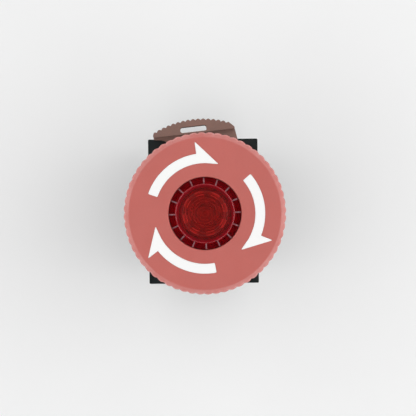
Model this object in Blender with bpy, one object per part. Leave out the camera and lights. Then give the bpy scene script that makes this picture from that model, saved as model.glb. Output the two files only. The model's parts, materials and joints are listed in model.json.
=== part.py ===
"""Illuminated 22 mm emergency stop: a 40 mm twist-to-release mushroom head on a coupling flange
that carries two normally closed contact blocks with a lamp block between them.

The row's origin is on the head's axis, in the plane of the blocks' rear faces, and +Z points
along the axis to the front. All lengths here are in millimetres; new_object() turns them into metres.
"""

import math

import bmesh
import bpy

MM = 0.001

# Driving dimensions
HEAD_RADIUS = 20.0          # the mushroom head is 40 mm across its grip teeth
TRAVEL = 5.0                # how far the head goes in
BARREL_RADIUS = 11.1        # fits a 22.5 mm panel hole
BEZEL_RADIUS = 14.75
BLOCK_LENGTH = 39.0         # along Y
FLANGE_LENGTH = 39.3
FLANGE_WIDTH = 29.8         # along X
BLOCK_PITCH = 9.9           # three blocks side by side
BLOCK_WIDTH = 9.5
GAP = 0.3                   # between pieces that lie against each other

# Heights above the blocks' rear faces
BLOCK_TOP = 26.0
FLANGE_BACK = BLOCK_TOP + GAP
FLANGE_FRONT = 38.0
LEVER_BACK = FLANGE_FRONT + GAP
LEVER_FRONT = 44.0
PANEL_SEAT = 48.9           # the gasket's rear face, where the panel's front comes
COLLAR_BACK = 50.0
COLLAR_TOP = 60.0
PIN_HEIGHT = 52.4
HEAD_BOTTOM = 64.0
HUB_BOTTOM = 68.6
LENS_SEAT = 73.7
HEAD_TOP = 82.0

TEETH = 60                  # grip teeth round the head
TOOTH_DEPTH = 0.4
LENS_RIBS = 16
LENS_RIB_TURN = 1.6         # where the first rib stands, from +X
LEVER_ANGLE = 96.1          # where the locking lever's thumb grip stands, from +X
LEVER_TURN = 45.0           # how far it turns clockwise to unlock
GRIP_RADIUS = 25.0
GRIP_TOOTH = 3.2            # degrees from tooth to tooth
GRIP_TEETH = 16

FINE = 40                   # sides of the large round pieces
MEDIUM = 28
SMALL = 12
FULL_TURN = 360.0


# Materials ---------------------------------------------------------------------------------------

def material(name, colour, roughness, metallic=0.0):
    made = bpy.data.materials.new(name)
    made.use_nodes = True
    made.diffuse_color = (*colour, 1.0)
    shader = made.node_tree.nodes["Principled BSDF"]
    shader.inputs["Base Color"].default_value = (*colour, 1.0)
    shader.inputs["Roughness"].default_value = roughness
    shader.inputs["Metallic"].default_value = metallic
    return made


def make_materials():
    return {
        "head_red": material("head_red", (0.52, 0.12, 0.10), 0.45),
        "inlay_white": material("inlay_white", (0.90, 0.90, 0.89), 0.5),
        "lens_red": material("lens_red", (0.30, 0.01, 0.01), 0.15),
        "frosted": material("frosted", (0.72, 0.66, 0.58), 0.5),
        "acetal": material("acetal", (0.80, 0.76, 0.68), 0.4),
        "black": material("black", (0.02, 0.02, 0.022), 0.5),
        "lever_brown": material("lever_brown", (0.20, 0.12, 0.095), 0.55),
        "rubber": material("rubber", (0.015, 0.015, 0.015), 0.85),
        "charcoal": material("charcoal", (0.05, 0.05, 0.053), 0.5),
        "plunger_red": material("plunger_red", (0.55, 0.03, 0.03), 0.45),
        "spring_steel": material("spring_steel", (0.62, 0.62, 0.62), 0.3, 1.0),
        "zinc": material("zinc", (0.68, 0.69, 0.70), 0.35, 1.0),
        "brass": material("brass", (0.78, 0.58, 0.28), 0.3, 1.0),
        "board_green": material("board_green", (0.03, 0.20, 0.08), 0.5),
        "lamp_clear": material("lamp_clear", (0.85, 0.80, 0.78), 0.1),
    }


# Shape helpers -----------------------------------------------------------------------------------

def new_object(name, bm, finish=None, smooth=True):
    """Links a bmesh made in millimetres as an object in metres."""
    bmesh.ops.recalc_face_normals(bm, faces=bm.faces)
    bmesh.ops.scale(bm, vec=(MM, MM, MM), verts=bm.verts)
    mesh = bpy.data.meshes.new(name)
    bm.to_mesh(mesh)
    bm.free()
    if smooth:
        mesh.shade_smooth()
        mesh.set_sharp_from_angle(angle=math.radians(32))
    obj = bpy.data.objects.new(name, mesh)
    bpy.context.scene.collection.objects.link(obj)
    if finish:
        mesh.materials.append(finish)
    return obj


def polar(radius, degrees):
    angle = math.radians(degrees)
    return radius * math.cos(angle), radius * math.sin(angle)


def arc(radius, start, end, steps):
    """Points along an arc about the origin, ends included."""
    return [polar(radius, start + (end - start) * i / steps) for i in range(steps + 1)]


def lathe(profile, sides, coarse_below=0.0):
    """A closed turned solid about Z. A profile point is (radius, height), or (tip radius, height,
    notch radius) where the ring has a tooth to each side. Rings narrower than coarse_below get half
    as many sides."""
    bm = bmesh.new()
    rings = []
    for radius, height, *notch in profile:
        if radius == 0:
            rings.append([bm.verts.new((0, 0, height))])
        elif notch:
            radii = (radius, notch[0])
            step = FULL_TURN / sides / 2
            rings.append([
                bm.verts.new((*polar(radii[i % 2], i * step), height)) for i in range(2 * sides)
            ])
        else:
            count = sides // 2 if radius < coarse_below else sides
            step = FULL_TURN / count
            rings.append([bm.verts.new((*polar(radius, i * step), height)) for i in range(count)])
    for ring, after in zip(rings, rings[1:] + rings[:1]):
        if len(ring) > 1 or len(after) > 1:
            bridge(bm, ring, after)
    return bm


def bridge(bm, ring, after):
    """Faces between two rings with equal counts, one count double the other, or one a single point."""
    few, many = sorted((ring, after), key=len)
    n = len(many)
    if len(few) == n:
        for i in range(n):
            bm.faces.new((few[i], few[(i + 1) % n], many[(i + 1) % n], many[i]))
    elif len(few) == 1:
        for i in range(n):
            bm.faces.new((few[0], many[i], many[(i + 1) % n]))
    else:
        for i in range(len(few)):
            left, right = few[i], few[(i + 1) % len(few)]
            first, middle, last = (many[(2 * i + k) % n] for k in range(3))
            bm.faces.new((left, first, middle))
            bm.faces.new((left, middle, right))
            bm.faces.new((right, middle, last))


def sector(profile, start, end, steps):
    """Part of a turned solid, from angle start to angle end in degrees, with flat ends."""
    bm = bmesh.new()
    add_sector(bm, profile, start, end, steps)
    return bm


def add_sector(bm, profile, start, end, steps):
    rows = []
    for i in range(steps + 1):
        angle = start + (end - start) * i / steps
        rows.append([bm.verts.new((*polar(radius, angle), height)) for radius, height in profile])
    n = len(profile)
    for row, after in zip(rows, rows[1:]):
        for k in range(n):
            bm.faces.new((row[k], row[(k + 1) % n], after[(k + 1) % n], after[k]))
    bm.faces.new(rows[0])
    bm.faces.new(rows[-1])


def add_prism(bm, outline, low, high, along="Z"):
    """Extrudes an outline. Its points are (x, y) along Z, or (y, z) along X."""
    def corner(point, level):
        return (*point, level) if along == "Z" else (level, *point)

    bottom = [bm.verts.new(corner(p, low)) for p in outline]
    top = [bm.verts.new(corner(p, high)) for p in outline]
    n = len(outline)
    bm.faces.new(bottom)
    bm.faces.new(top)
    for i in range(n):
        bm.faces.new((bottom[i], bottom[(i + 1) % n], top[(i + 1) % n], top[i]))


def prism(outline, low, high, along="Z"):
    bm = bmesh.new()
    add_prism(bm, outline, low, high, along)
    return bm


def boxes(*ranges):
    """One bmesh of boxes, each given as (x0, x1, y0, y1, z0, z1)."""
    bm = bmesh.new()
    for x0, x1, y0, y1, z0, z1 in ranges:
        add_prism(bm, [(x0, y0), (x1, y0), (x1, y1), (x0, y1)], z0, z1)
    return bm


def ring_profile(inner, outer, low, high):
    return [(inner, low), (outer, low), (outer, high), (inner, high)]


def combine(obj, bm, operation):
    """Joins a helper shape to obj, or cuts it away, with a Boolean modifier."""
    helper = new_object(f"{obj.name}_{operation.lower()}_{len(obj.modifiers)}", bm)
    helper.hide_render = True
    helper.display_type = "WIRE"
    helper.location = obj.location
    helper.rotation_euler = obj.rotation_euler
    helper.parent = obj.parent
    modifier = obj.modifiers.new(operation.title(), "BOOLEAN")
    modifier.operation = operation
    modifier.solver = "EXACT"
    modifier.object = helper


def cut(obj, bm):
    combine(obj, bm, "DIFFERENCE")


def join(obj, bm):
    combine(obj, bm, "UNION")


def coil(name, radius, wire, low, high, turns, finish, steps=12, sides=1):
    """A coil spring about Z between two heights, as a bevelled curve. wire is its diameter."""
    curve = bpy.data.curves.new(name, "CURVE")
    curve.dimensions = "3D"
    curve.bevel_depth = wire / 2 * MM
    curve.bevel_resolution = sides
    curve.use_fill_caps = True
    count = int(turns * steps)
    spline = curve.splines.new("POLY")
    spline.points.add(count)
    bottom, top = low + wire / 2, high - wire / 2
    for i, point in enumerate(spline.points):
        x, y = polar(radius, FULL_TURN * i / steps)
        z = bottom + (top - bottom) * i / count
        point.co = (x * MM, y * MM, z * MM, 1)
    curve.materials.append(finish)
    obj = bpy.data.objects.new(name, curve)
    bpy.context.scene.collection.objects.link(obj)
    return obj


def group(name, x=0.0, y=0.0, z=0.0):
    empty = bpy.data.objects.new(name, None)
    empty.location = (x * MM, y * MM, z * MM)
    empty.empty_display_size = 5 * MM
    bpy.context.scene.collection.objects.link(empty)
    return empty


# The head: what is pushed and twisted -------------------------------------------------------------

ARROW_INNER = 12.36
ARROW_OUTER = 14.78
ARROW_BARB = 17.9
ARROW_POINT = 12.55
ARROW_TAIL_ANGLE = 160.5
ARROW_NECK_ANGLE = 97.8
ARROW_POINT_ANGLE = 73.8
INLAY_THICKNESS = 0.65
INLAY_GAP = 0.15


def arrow_outline(turn, grow=0.0):
    """A curved arrow that points clockwise, its barb on the outer side. grow widens it all round."""
    spread = math.degrees(grow / ARROW_OUTER)
    tail, neck = ARROW_TAIL_ANGLE + spread, ARROW_NECK_ANGLE + spread
    outer, inner = ARROW_OUTER + grow, ARROW_INNER - grow
    points = arc(outer, turn + tail, turn + neck, 8)
    points.append(polar(ARROW_BARB + 1.5 * grow, turn + neck))
    points.append(polar(ARROW_POINT, turn + ARROW_POINT_ANGLE - 3 * spread))
    points += arc(inner, turn + ARROW_POINT_ANGLE + 15, turn + tail, 8)
    return points


def mushroom_head(finish):
    tip, notch = HEAD_RADIUS, HEAD_RADIUS - TOOTH_DEPTH
    profile = [
        (8.95, HEAD_TOP),
        (18.9, HEAD_TOP),
        (19.55, 81.7, 19.4),
        (tip, 80.9, notch),
        (tip, 74.0, notch),
        (19.2, 72.6, 18.9),
        (17.6, 70.0),
        (16.7, 67.0),
        (16.4, HEAD_BOTTOM),
        (15.3, HEAD_BOTTOM),
        (15.5, 68.0),
        (17.3, 73.0),
        (17.6, 79.2),
        (10.2, 79.2),
        (10.2, 72.2),
        (8.2, 71.6),
        (8.2, HUB_BOTTOM),
        (6.25, HUB_BOTTOM),
        (6.25, LENS_SEAT),
        (8.95, LENS_SEAT),
    ]
    head = new_object("mushroom_head", lathe(profile, TEETH, coarse_below=17.5), finish)
    recess_floor = HEAD_TOP - INLAY_THICKNESS - INLAY_GAP
    for turn in (0, 120, 240):
        cut(head, prism(arrow_outline(turn, INLAY_GAP), recess_floor, HEAD_TOP + 1))
    cut(head, boxes((-7.3, 7.3, -0.9, 0.9, HUB_BOTTOM - 1, LENS_SEAT + 1)))
    return head


def arrow_inlays(finish):
    floor = HEAD_TOP - INLAY_THICKNESS
    return [
        new_object(f"arrow_inlay_{i + 1}", prism(arrow_outline(120 * i), floor, HEAD_TOP), finish)
        for i in range(3)
    ]


def lens(finish):
    """A hollow cap with a stepped rim and thin grip ribs standing round its crown."""
    crown, rim, ledge = 7.35, 8.7, 79.8
    profile = [
        (0, 82.6),
        (4.6, 82.5),
        (6.7, 82.1),
        (crown, 81.4),
        (crown, ledge),
        (rim, ledge),
        (rim, LENS_SEAT + GAP),
        (7.9, LENS_SEAT + GAP),
        (7.9, 78.4),
        (6.2, 78.9),
        (6.2, 80.8),
        (0, 81.3),
    ]
    cap = new_object("lens", lathe(profile, MEDIUM), finish)
    ribs = bmesh.new()
    half = math.degrees(0.2 / rim)
    for i in range(LENS_RIBS):
        angle = i * FULL_TURN / LENS_RIBS + LENS_RIB_TURN
        section = ring_profile(crown - 0.4, rim - 0.05, ledge - 0.4, 81.2)
        add_sector(ribs, section, angle - half, angle + half, 1)
    join(cap, ribs)
    return cap


CAM_WIDE = 8.8
CAM_NARROW = 7.6
CAM_START = PIN_HEIGHT + 0.2
SLEEVE_RADIUS = 6.1
SLEEVE_BORE = 4.7
SLEEVE_STEP = 35.4
SLEEVE_BACK = 31.5
SLEEVE_FRONT = 79.4         # its castellated rim stands close under the lens
HUB_RADIUS = 6.0
RIM_RADIUS = 5.7
RIM_TABS = 8
RIM_TAB_ANGLE = 24.0
RIM_TURN = 15.0             # where the first tab stands, from +X
RIM_NOTCH = 2.6             # how deep the rim is cut between its tabs


def cam_sleeve(finish):
    """The hollow stem that turns with the head. Its cone narrows upwards, so the latch pins close in
    on it and drop into the notches when the head is pushed."""
    profile = [
        (SLEEVE_BORE, SLEEVE_FRONT),
        (RIM_RADIUS, SLEEVE_FRONT),
        (RIM_RADIUS, 75.2),
        (HUB_RADIUS, 75.0),
        (HUB_RADIUS, 74.8),
        (5.5, 74.8),
        (5.5, 73.8),
        (HUB_RADIUS, 73.8),
        (HUB_RADIUS, 68.3),
        (CAM_NARROW, 68.3),
        (CAM_NARROW, CAM_START + TRAVEL),
        (CAM_WIDE, CAM_START),
        (CAM_WIDE, 49.5),
        (SLEEVE_RADIUS, 49.5),
        (SLEEVE_RADIUS, SLEEVE_STEP),
        (5.5, SLEEVE_STEP),
        (5.5, 32.65),
        (5.15, 32.65),
        (5.15, 31.9),
        (5.5, 31.9),
        (5.5, SLEEVE_BACK),
        (SLEEVE_BORE, SLEEVE_BACK),
        (SLEEVE_BORE, 71.0),
        (4.1, 71.4),
        (4.1, 72.0),
        (SLEEVE_BORE, 72.0),
    ]
    sleeve = new_object("cam_sleeve", lathe(profile, MEDIUM), finish)
    notches = bmesh.new()
    for side in (0, 180):
        section = ring_profile(7.2, 9.2, PIN_HEIGHT + TRAVEL - 1.3, PIN_HEIGHT + TRAVEL + 0.7)
        add_sector(notches, section, side - 25, side + 25, 5)
    section = ring_profile(SLEEVE_BORE - 0.3, RIM_RADIUS + 0.3, SLEEVE_FRONT - RIM_NOTCH,
                           SLEEVE_FRONT + 1)
    pitch = FULL_TURN / RIM_TABS
    for i in range(RIM_TABS):
        tab = RIM_TURN + pitch * i
        add_sector(notches, section, tab + RIM_TAB_ANGLE / 2, tab + pitch - RIM_TAB_ANGLE / 2, 2)
    cut(sleeve, notches)
    join(sleeve, boxes((-7.1, -5.5, -0.6, 0.6, 68.0, 73.0), (5.5, 7.1, -0.6, 0.6, 68.0, 73.0)))
    return sleeve


def diffuser(finish):
    """A frosted disc on the ledge in the stem, which spreads the lamp's light under the lens."""
    profile = [(0, 73.0), (3.8, 73.0), (3.8, 72.3), (4.5, 72.3), (4.5, 74.2), (3.6, 74.6), (0, 74.8)]
    return new_object("diffuser", lathe(profile, MEDIUM), finish)


def circlip(name, inner, outer, low, high, finish):
    section = ring_profile(inner, outer, low, high)
    return new_object(name, sector(section, 25, FULL_TURN - 25, 20), finish)


DISC_RADIUS = 11.0
DISC_BACK, DISC_FRONT = 32.75, 34.6
LUG_HALF = 1.2


def contact_actuator(finish):
    """The disc under the stem that pushes the contact plungers. Its two lugs keep it from turning."""
    bore, hub = 5.7, 8.0
    profile = [
        (bore, DISC_BACK),
        (DISC_RADIUS, DISC_BACK),
        (DISC_RADIUS, DISC_FRONT),
        (hub, DISC_FRONT),
        (hub, SLEEVE_STEP),
        (bore, SLEEVE_STEP),
    ]
    disc = new_object("contact_actuator", lathe(profile, MEDIUM), finish)
    root, tip = DISC_RADIUS - 0.8, DISC_RADIUS + 1.1
    for near, far in ((root, tip), (-tip, -root)):
        join(disc, boxes((-LUG_HALF, LUG_HALF, near, far, DISC_BACK, DISC_FRONT)))
    return disc


# The operator's fixed body ------------------------------------------------------------------------

GROOVE_FLOOR = 10.2
CAM_HALF_ANGLE = 11.0
CAM_LOW, CAM_HIGH = 40.0, 42.0
PIN_BORE = 1.4
PIN_RADIUS = 1.2
PIN_LENGTH = 2.05
KEY_HALF = 1.6              # the key on the barrel that stops it turning in the panel
SEAT_LOW, SEAT_HIGH = 35.7, 36.9    # the ledge in the barrel that the return spring stands on


def operator_housing(finish):
    profile = [
        (13.1, COLLAR_TOP),
        (13.1, 51.2),
        (BEZEL_RADIUS, 51.2),
        (BEZEL_RADIUS, COLLAR_BACK),
        (BARREL_RADIUS, COLLAR_BACK),
        (BARREL_RADIUS, 35.0),
        (9.3, 35.0),
        (9.3, SEAT_LOW),
        (6.4, SEAT_LOW),
        (6.4, SEAT_HIGH),
        (9.3, SEAT_HIGH),
        (9.3, 58.2),
        (11.5, 58.2),
        (11.5, COLLAR_TOP),
    ]
    housing = new_object("operator_housing", lathe(profile, FINE), finish)
    bores = bmesh.new()
    outline = [(y, z + PIN_HEIGHT) for y, z in arc(PIN_BORE, 15, 345, 11)]
    add_prism(bores, outline, 9.0, 14.0, along="X")
    add_prism(bores, outline, -14.0, -9.0, along="X")
    cut(housing, bores)
    for groove in bayonet_grooves():
        cut(housing, groove)
    join(housing, boxes((-KEY_HALF, KEY_HALF, 10.4, 12.1, 45.0, COLLAR_BACK + 0.5)))
    return housing


def bayonet_grooves():
    """Two L-shaped grooves: round the barrel for the lever's cams, then down to its end at the
    unlocked position, where the flange comes off."""
    slack = 2.0
    arm = CAM_HALF_ANGLE + slack
    section = ring_profile(GROOVE_FLOOR, BARREL_RADIUS + 0.5, CAM_LOW - GAP, CAM_HIGH + GAP)
    entry = ring_profile(GROOVE_FLOOR, BARREL_RADIUS + 0.5, 34.0, CAM_LOW)
    round_barrel, down_barrel = bmesh.new(), bmesh.new()
    for side in (90, -90):
        locked = LEVER_ANGLE + side
        unlocked = locked - LEVER_TURN
        add_sector(round_barrel, section, unlocked - arm, locked + arm, 9)
        add_sector(down_barrel, entry, unlocked - arm, unlocked + arm, 4)
    return round_barrel, down_barrel


def bezel_ring(finish):
    profile = [
        (13.3, 51.4),
        (BEZEL_RADIUS, 51.4),
        (BEZEL_RADIUS, COLLAR_TOP),
        (13.9, 61.2),
        (9.2, 61.2),
        (9.2, 60.3),
        (13.3, 60.3),
    ]
    return new_object("bezel_ring", lathe(profile, FINE), finish)


def panel_gasket(finish):
    section = ring_profile(BARREL_RADIUS + 0.2, BEZEL_RADIUS, PANEL_SEAT, COLLAR_BACK - 0.1)
    gasket = new_object("panel_gasket", lathe(section, FINE), finish)
    notch = KEY_HALF + 0.2
    cut(gasket, boxes((-notch, notch, 10.0, 12.4, PANEL_SEAT - 1, COLLAR_BACK + 1)))
    return gasket


def lip_seal(finish):
    profile = [
        (11.3, 58.4),
        (11.3, 60.1),
        (9.0, 60.1),
        (8.0, 61.0),
        (7.8, 60.8),
        (8.5, 58.4),
    ]
    return new_object("lip_seal", lathe(profile, MEDIUM), finish)


def latch_pin(side, name, finish):
    """A round-nosed pin whose nose rests by the cam sleeve. side is -1 or 1, its place along X."""
    nose = [(r, z + PIN_RADIUS) for r, z in arc(PIN_RADIUS, -55, -20, 1)]
    profile = [(0, 0), *nose, (PIN_RADIUS, PIN_LENGTH), (0, PIN_LENGTH)]
    pin = new_object(name, lathe(profile, SMALL), finish)
    pin.location = (side * (CAM_WIDE + 0.15) * MM, 0, PIN_HEIGHT * MM)
    pin.rotation_euler = (0, side * math.pi / 2, 0)
    return pin


def latch_spring(side, name, finish):
    spring = coil(name, 0.85, 0.35, 0, 1.95, 3, finish, steps=8, sides=0)
    spring.location = (side * (CAM_WIDE + PIN_LENGTH + GAP) * MM, 0, PIN_HEIGHT * MM)
    spring.rotation_euler = (0, side * math.pi / 2, 0)
    return spring


# The coupling flange and its locking lever --------------------------------------------------------

HOOK_ANGLES = (150, 220, 320)
RING_OUTER = 13.6           # the lever ring's lower step, held under the flange's hooks
RING_HUB = 12.9
WEB_FRONT = 41.0            # the web between the ring and the grip, on its middle line
WEB_SLOPE = 0.19            # how steeply its front rises to the right
GRIP_CHORD = 21.25          # from the axis to the grip's inner edge
SLOT = (-3.7, 3.4, 21.65, 23.1)     # the screwdriver slot in the grip, in the lever's frame
BLOCK_HOOK_Y = 16.0


def block_places():
    """(name, centre along X, side its cover is on) of the three blocks behind the flange."""
    return (
        ("nc_left", -BLOCK_PITCH, -1),
        ("lamp", 0.0, 1),
        ("nc_right", BLOCK_PITCH, 1),
    )


def flange_body(finish):
    half_x, half_y, corner = FLANGE_WIDTH / 2, FLANGE_LENGTH / 2, 0.3
    outline = []
    for sx, sy in ((1, -1), (1, 1), (-1, 1), (-1, -1)):
        ends = [(sx * half_x, sy * (half_y - corner)), (sx * (half_x - corner), sy * half_y)]
        outline += ends if sx * sy > 0 else ends[::-1]
    body = new_object("flange_body", prism(outline, FLANGE_BACK, FLANGE_FRONT), finish)
    hooks = bmesh.new()
    section = [
        (13.9, FLANGE_FRONT - 1),
        (15.2, FLANGE_FRONT - 1),
        (15.2, 41.4),
        (13.2, 41.4),
        (13.2, 40.3),
        (13.9, 40.3),
    ]
    for angle in HOOK_ANGLES:
        add_sector(hooks, section, angle - 8, angle + 8, 2)
    join(body, hooks)
    cut(body, lathe([(0, 20), (11.5, 20), (11.5, 50), (0, 50)], FINE))
    keyways = [
        (-1.5, 1.5, 10.5, 12.5, FLANGE_BACK - 1, 36),
        (-1.5, 1.5, -12.5, -10.5, FLANGE_BACK - 1, 36),
    ]
    pockets = []
    for _, x, side in block_places():
        core = x + side * CORE_OFFSET
        for y in (-BLOCK_HOOK_Y, BLOCK_HOOK_Y):
            pockets.append((core - 2.0, core + 2.0, y - 1.4, y + 1.4, FLANGE_BACK - 1, 30.5))
    cut(body, boxes(*keyways, *pockets))
    return body


def lever_frame(points):
    """Turns outline points from the lever's own frame, its grip on +Y, to where it stands."""
    angle = math.radians(LEVER_ANGLE - 90)
    c, s = math.cos(angle), math.sin(angle)
    return [(u * c - v * s, u * s + v * c) for u, v in points]


def grip_outline():
    """The thumb grip: a toothed arc outside, flared flanks and a straight inner edge. It has one
    more tooth on its left half than on its right."""
    first = 90 - GRIP_TOOTH * (GRIP_TEETH / 2 - 1)
    teeth = []
    for i in range(2 * GRIP_TEETH - 1):
        radius = GRIP_RADIUS if i % 2 == 0 else GRIP_RADIUS - 0.5
        teeth.append(polar(radius, first + i * GRIP_TOOTH / 2))
    return [*teeth, (-11.15, 21.9), (-11.2, GRIP_CHORD), (10.9, GRIP_CHORD), (10.8, 21.75)]


def lever_web():
    outline = [(-11.1, 21.6), (-11.2, 20.8), (-7.6, 20.2), (-6.6, 12.2), (6.6, 12.2), (9.2, 15.5),
               (11.5, 17.4), (10.85, 21.6)]
    web = prism(lever_frame(outline), LEVER_BACK, WEB_FRONT)
    right = polar(1, LEVER_ANGLE - 90)
    for vert in web.verts:
        if vert.co.z > LEVER_BACK + 1:
            vert.co.z += WEB_SLOPE * (vert.co.x * right[0] + vert.co.y * right[1])
    return web


def locking_lever(finish):
    ring = [
        (11.5, LEVER_BACK),
        (RING_OUTER, LEVER_BACK),
        (RING_OUTER, CAM_LOW),
        (RING_HUB, CAM_LOW),
        (RING_HUB, LEVER_FRONT),
        (11.5, LEVER_FRONT),
    ]
    lever = new_object("locking_lever", lathe(ring, FINE), finish)
    join(lever, lever_web())
    join(lever, prism(lever_frame(grip_outline()), LEVER_BACK, LEVER_FRONT))
    cams = bmesh.new()
    for side in (90, -90):
        middle = LEVER_ANGLE + side
        section = ring_profile(10.5, 12.2, CAM_LOW, CAM_HIGH)
        add_sector(cams, section, middle - CAM_HALF_ANGLE, middle + CAM_HALF_ANGLE, 4)
    join(lever, cams)
    left, right, near, far = SLOT
    slot = [(left, near), (right, near), (right, far), (left, far)]
    cut(lever, prism(lever_frame(slot), 30, 50))
    return lever


# The contact blocks and the lamp block ------------------------------------------------------------
# A block is made about its own centre plane. side is where its cover goes, -1 or 1 along X.

CORE_OFFSET = -0.55         # the middle of the housing, beside the cover, along side
CAVITY_HALF_Y = 8.9
STEP_Y = 10.2               # beyond this the block's rear is stepped for the terminals
STEP_Z = 7.0
CHAMBER_Y = 11.0
SCREW_Y = 15.2
STRIP_LOW, STRIP_HIGH = 13.6, 14.5
CHAMBER_TOP = STRIP_HIGH + GAP
FIXED_LOW, FIXED_HIGH = 18.0, 18.9
BRIDGE_LOW, BRIDGE_HIGH = 15.8, 16.6
STRIP_HALF_X = 2.2
STRIP_NEAR_Y, STRIP_FAR_Y = 7.6, 18.8
CONTACT_Y = 6.4             # where the contacts meet, to each side of the middle
CLAMP_HALF_X, CLAMP_HALF_Y = 2.7, 3.2
CLAMP_LOW, CLAMP_HIGH = 10.0, 10.9
SCREW_HOLE = 1.95
SCREW_BACK = 7.6
BAR_HALF_X, BAR_HALF_Y = 2.7, 2.6
STEM_HALF_X, STEM_HALF_Y = 1.7, 2.4
PLUNGER_TOP = 32.45
RIVET_RADIUS = 1.3


def span(side, a, b):
    """A range along X, measured towards the cover."""
    return tuple(sorted((side * a, side * b)))


def block_outline():
    half, top = BLOCK_LENGTH / 2, BLOCK_TOP
    return [(-half, top), (-half, STEP_Z), (-STEP_Y, STEP_Z), (-STEP_Y, 0), (STEP_Y, 0),
            (STEP_Y, STEP_Z), (half, STEP_Z), (half, top)]


def block_housing(name, side, parent, finish):
    outer = span(side, -BLOCK_WIDTH / 2, 3.65)
    housing = new_object(name, prism(block_outline(), *outer, along="X"), finish)
    housing.parent = parent
    hooks = []
    for end in (-1, 1):
        x0, x1 = span(side, CORE_OFFSET - 1.6, CORE_OFFSET + 1.6)
        y = sorted((end * (BLOCK_HOOK_Y - 0.9), end * (BLOCK_HOOK_Y + 0.3)))
        lip = sorted((end * (BLOCK_HOOK_Y + 0.1), end * (BLOCK_HOOK_Y + 0.9)))
        hooks.append((x0, x1, *y, BLOCK_TOP - 1, 29.8))
        hooks.append((x0, x1, *lip, 28.6, 29.8))
    for hook in hooks:
        join(housing, boxes(hook))
    far = side * 6.0
    cavity = (*sorted((side * (CORE_OFFSET - 3.0), far)), -CAVITY_HALF_Y, CAVITY_HALF_Y, 2.5, 23.5)
    cut(housing, boxes(cavity))
    core = span(side, CORE_OFFSET - 3.0, CORE_OFFSET + 3.0)
    slot = span(side, CORE_OFFSET - 2.5, CORE_OFFSET + 2.5)
    for end in (-1, 1):
        chamber_y = sorted((end * CHAMBER_Y, end * 22.0))
        slot_y = sorted((end * (CAVITY_HALF_Y - 1), end * (CHAMBER_Y + 1)))
        cut(housing, boxes((*core, *chamber_y, STEP_Z - 2, CHAMBER_TOP)))
        cut(housing, boxes((*slot, *slot_y, STRIP_LOW - GAP, STRIP_HIGH + GAP)))
        middle = side * CORE_OFFSET
        bore = [(middle + x, end * SCREW_Y + y) for x, y in arc(2.1, 0, 330, 11)]
        cut(housing, prism(bore, CHAMBER_TOP - 1, 17.2))
    return housing


def block_cover(name, side, parent, finish):
    cover = new_object(name, prism(block_outline(), *span(side, 3.85, BLOCK_WIDTH / 2), along="X"),
                       finish)
    cover.parent = parent
    return cover


def terminal(prefix, end, side, parent, finishes, strip):
    """One end's fixed contact strip, clamp and screw. strip is the strip's outline in (y, z)."""
    label = "top" if end > 0 else "bottom"
    middle = side * CORE_OFFSET
    y = end * SCREW_Y
    outline = [(end * a, b) for a, b in strip]
    plate = new_object(f"{prefix}_strip_{label}",
                       prism(outline, middle - STRIP_HALF_X, middle + STRIP_HALF_X, along="X"),
                       finishes["brass"])
    hole = [(middle + a, y + b) for a, b in arc(SCREW_HOLE, 0, 330, 11)]
    cut(plate, prism(hole, STRIP_LOW - 1, STRIP_HIGH + 1))
    if max(z for _, z in strip) > FIXED_LOW:
        rivet = [(middle + a, end * CONTACT_Y + b) for a, b in arc(RIVET_RADIUS, 0, 330, 11)]
        join(plate, prism(rivet, FIXED_LOW - 0.6, FIXED_LOW + 0.4))
    clamp = new_object(f"{prefix}_clamp_{label}",
                       boxes((middle - CLAMP_HALF_X, middle + CLAMP_HALF_X, y - CLAMP_HALF_Y,
                              y + CLAMP_HALF_Y, CLAMP_LOW, CLAMP_HIGH)),
                       finishes["zinc"], smooth=False)
    cut(clamp, prism(hole, CLAMP_LOW - 1, CLAMP_HIGH + 1))
    shank = [(0, 16.8), (1.75, 16.8), (1.75, CLAMP_LOW - 0.2), (2.7, CLAMP_LOW - 0.2), (2.7, 8.2),
             (2.2, SCREW_BACK), (0, SCREW_BACK)]
    screw = new_object(f"{prefix}_screw_{label}", lathe(shank, SMALL), finishes["zinc"])
    screw.location = (middle * MM, y * MM, 0)
    screw.parent = parent
    cut(screw, boxes((-3.0, 3.0, -0.4, 0.4, SCREW_BACK - 1, SCREW_BACK + 1)))
    for piece in (plate, clamp):
        piece.parent = parent
        for modifier in piece.modifiers:
            modifier.object.parent = parent
    return plate, clamp, screw


CONTACT_STRIP = [(STRIP_FAR_Y, STRIP_LOW), (STRIP_FAR_Y, STRIP_HIGH), (8.5, STRIP_HIGH),
                 (8.5, FIXED_HIGH), (4.9, FIXED_HIGH), (4.9, FIXED_LOW), (STRIP_NEAR_Y, FIXED_LOW),
                 (STRIP_NEAR_Y, STRIP_LOW)]
LAMP_STRIP = [(STRIP_FAR_Y, STRIP_LOW), (STRIP_FAR_Y, STRIP_HIGH), (STRIP_NEAR_Y, STRIP_HIGH),
              (STRIP_NEAR_Y, STRIP_LOW)]


def contact_plunger(name, side, parent, finish):
    """The push bar of a contact block: a stem through the block's front and a frame round the bridge."""
    middle = side * CORE_OFFSET
    frame = (middle - BAR_HALF_X, middle + BAR_HALF_X, -BAR_HALF_Y, BAR_HALF_Y, 11.8, 23.2)
    bar = new_object(name, boxes(frame), finish, smooth=False)
    bar.parent = parent
    join(bar, boxes((middle - STEM_HALF_X, middle + STEM_HALF_X, -STEM_HALF_Y, STEM_HALF_Y, 22.0,
                     PLUNGER_TOP)))
    cut(bar, boxes((middle - 1.6, middle + 1.6, -4.0, 4.0, 13.0, 19.5)))
    return bar


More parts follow.
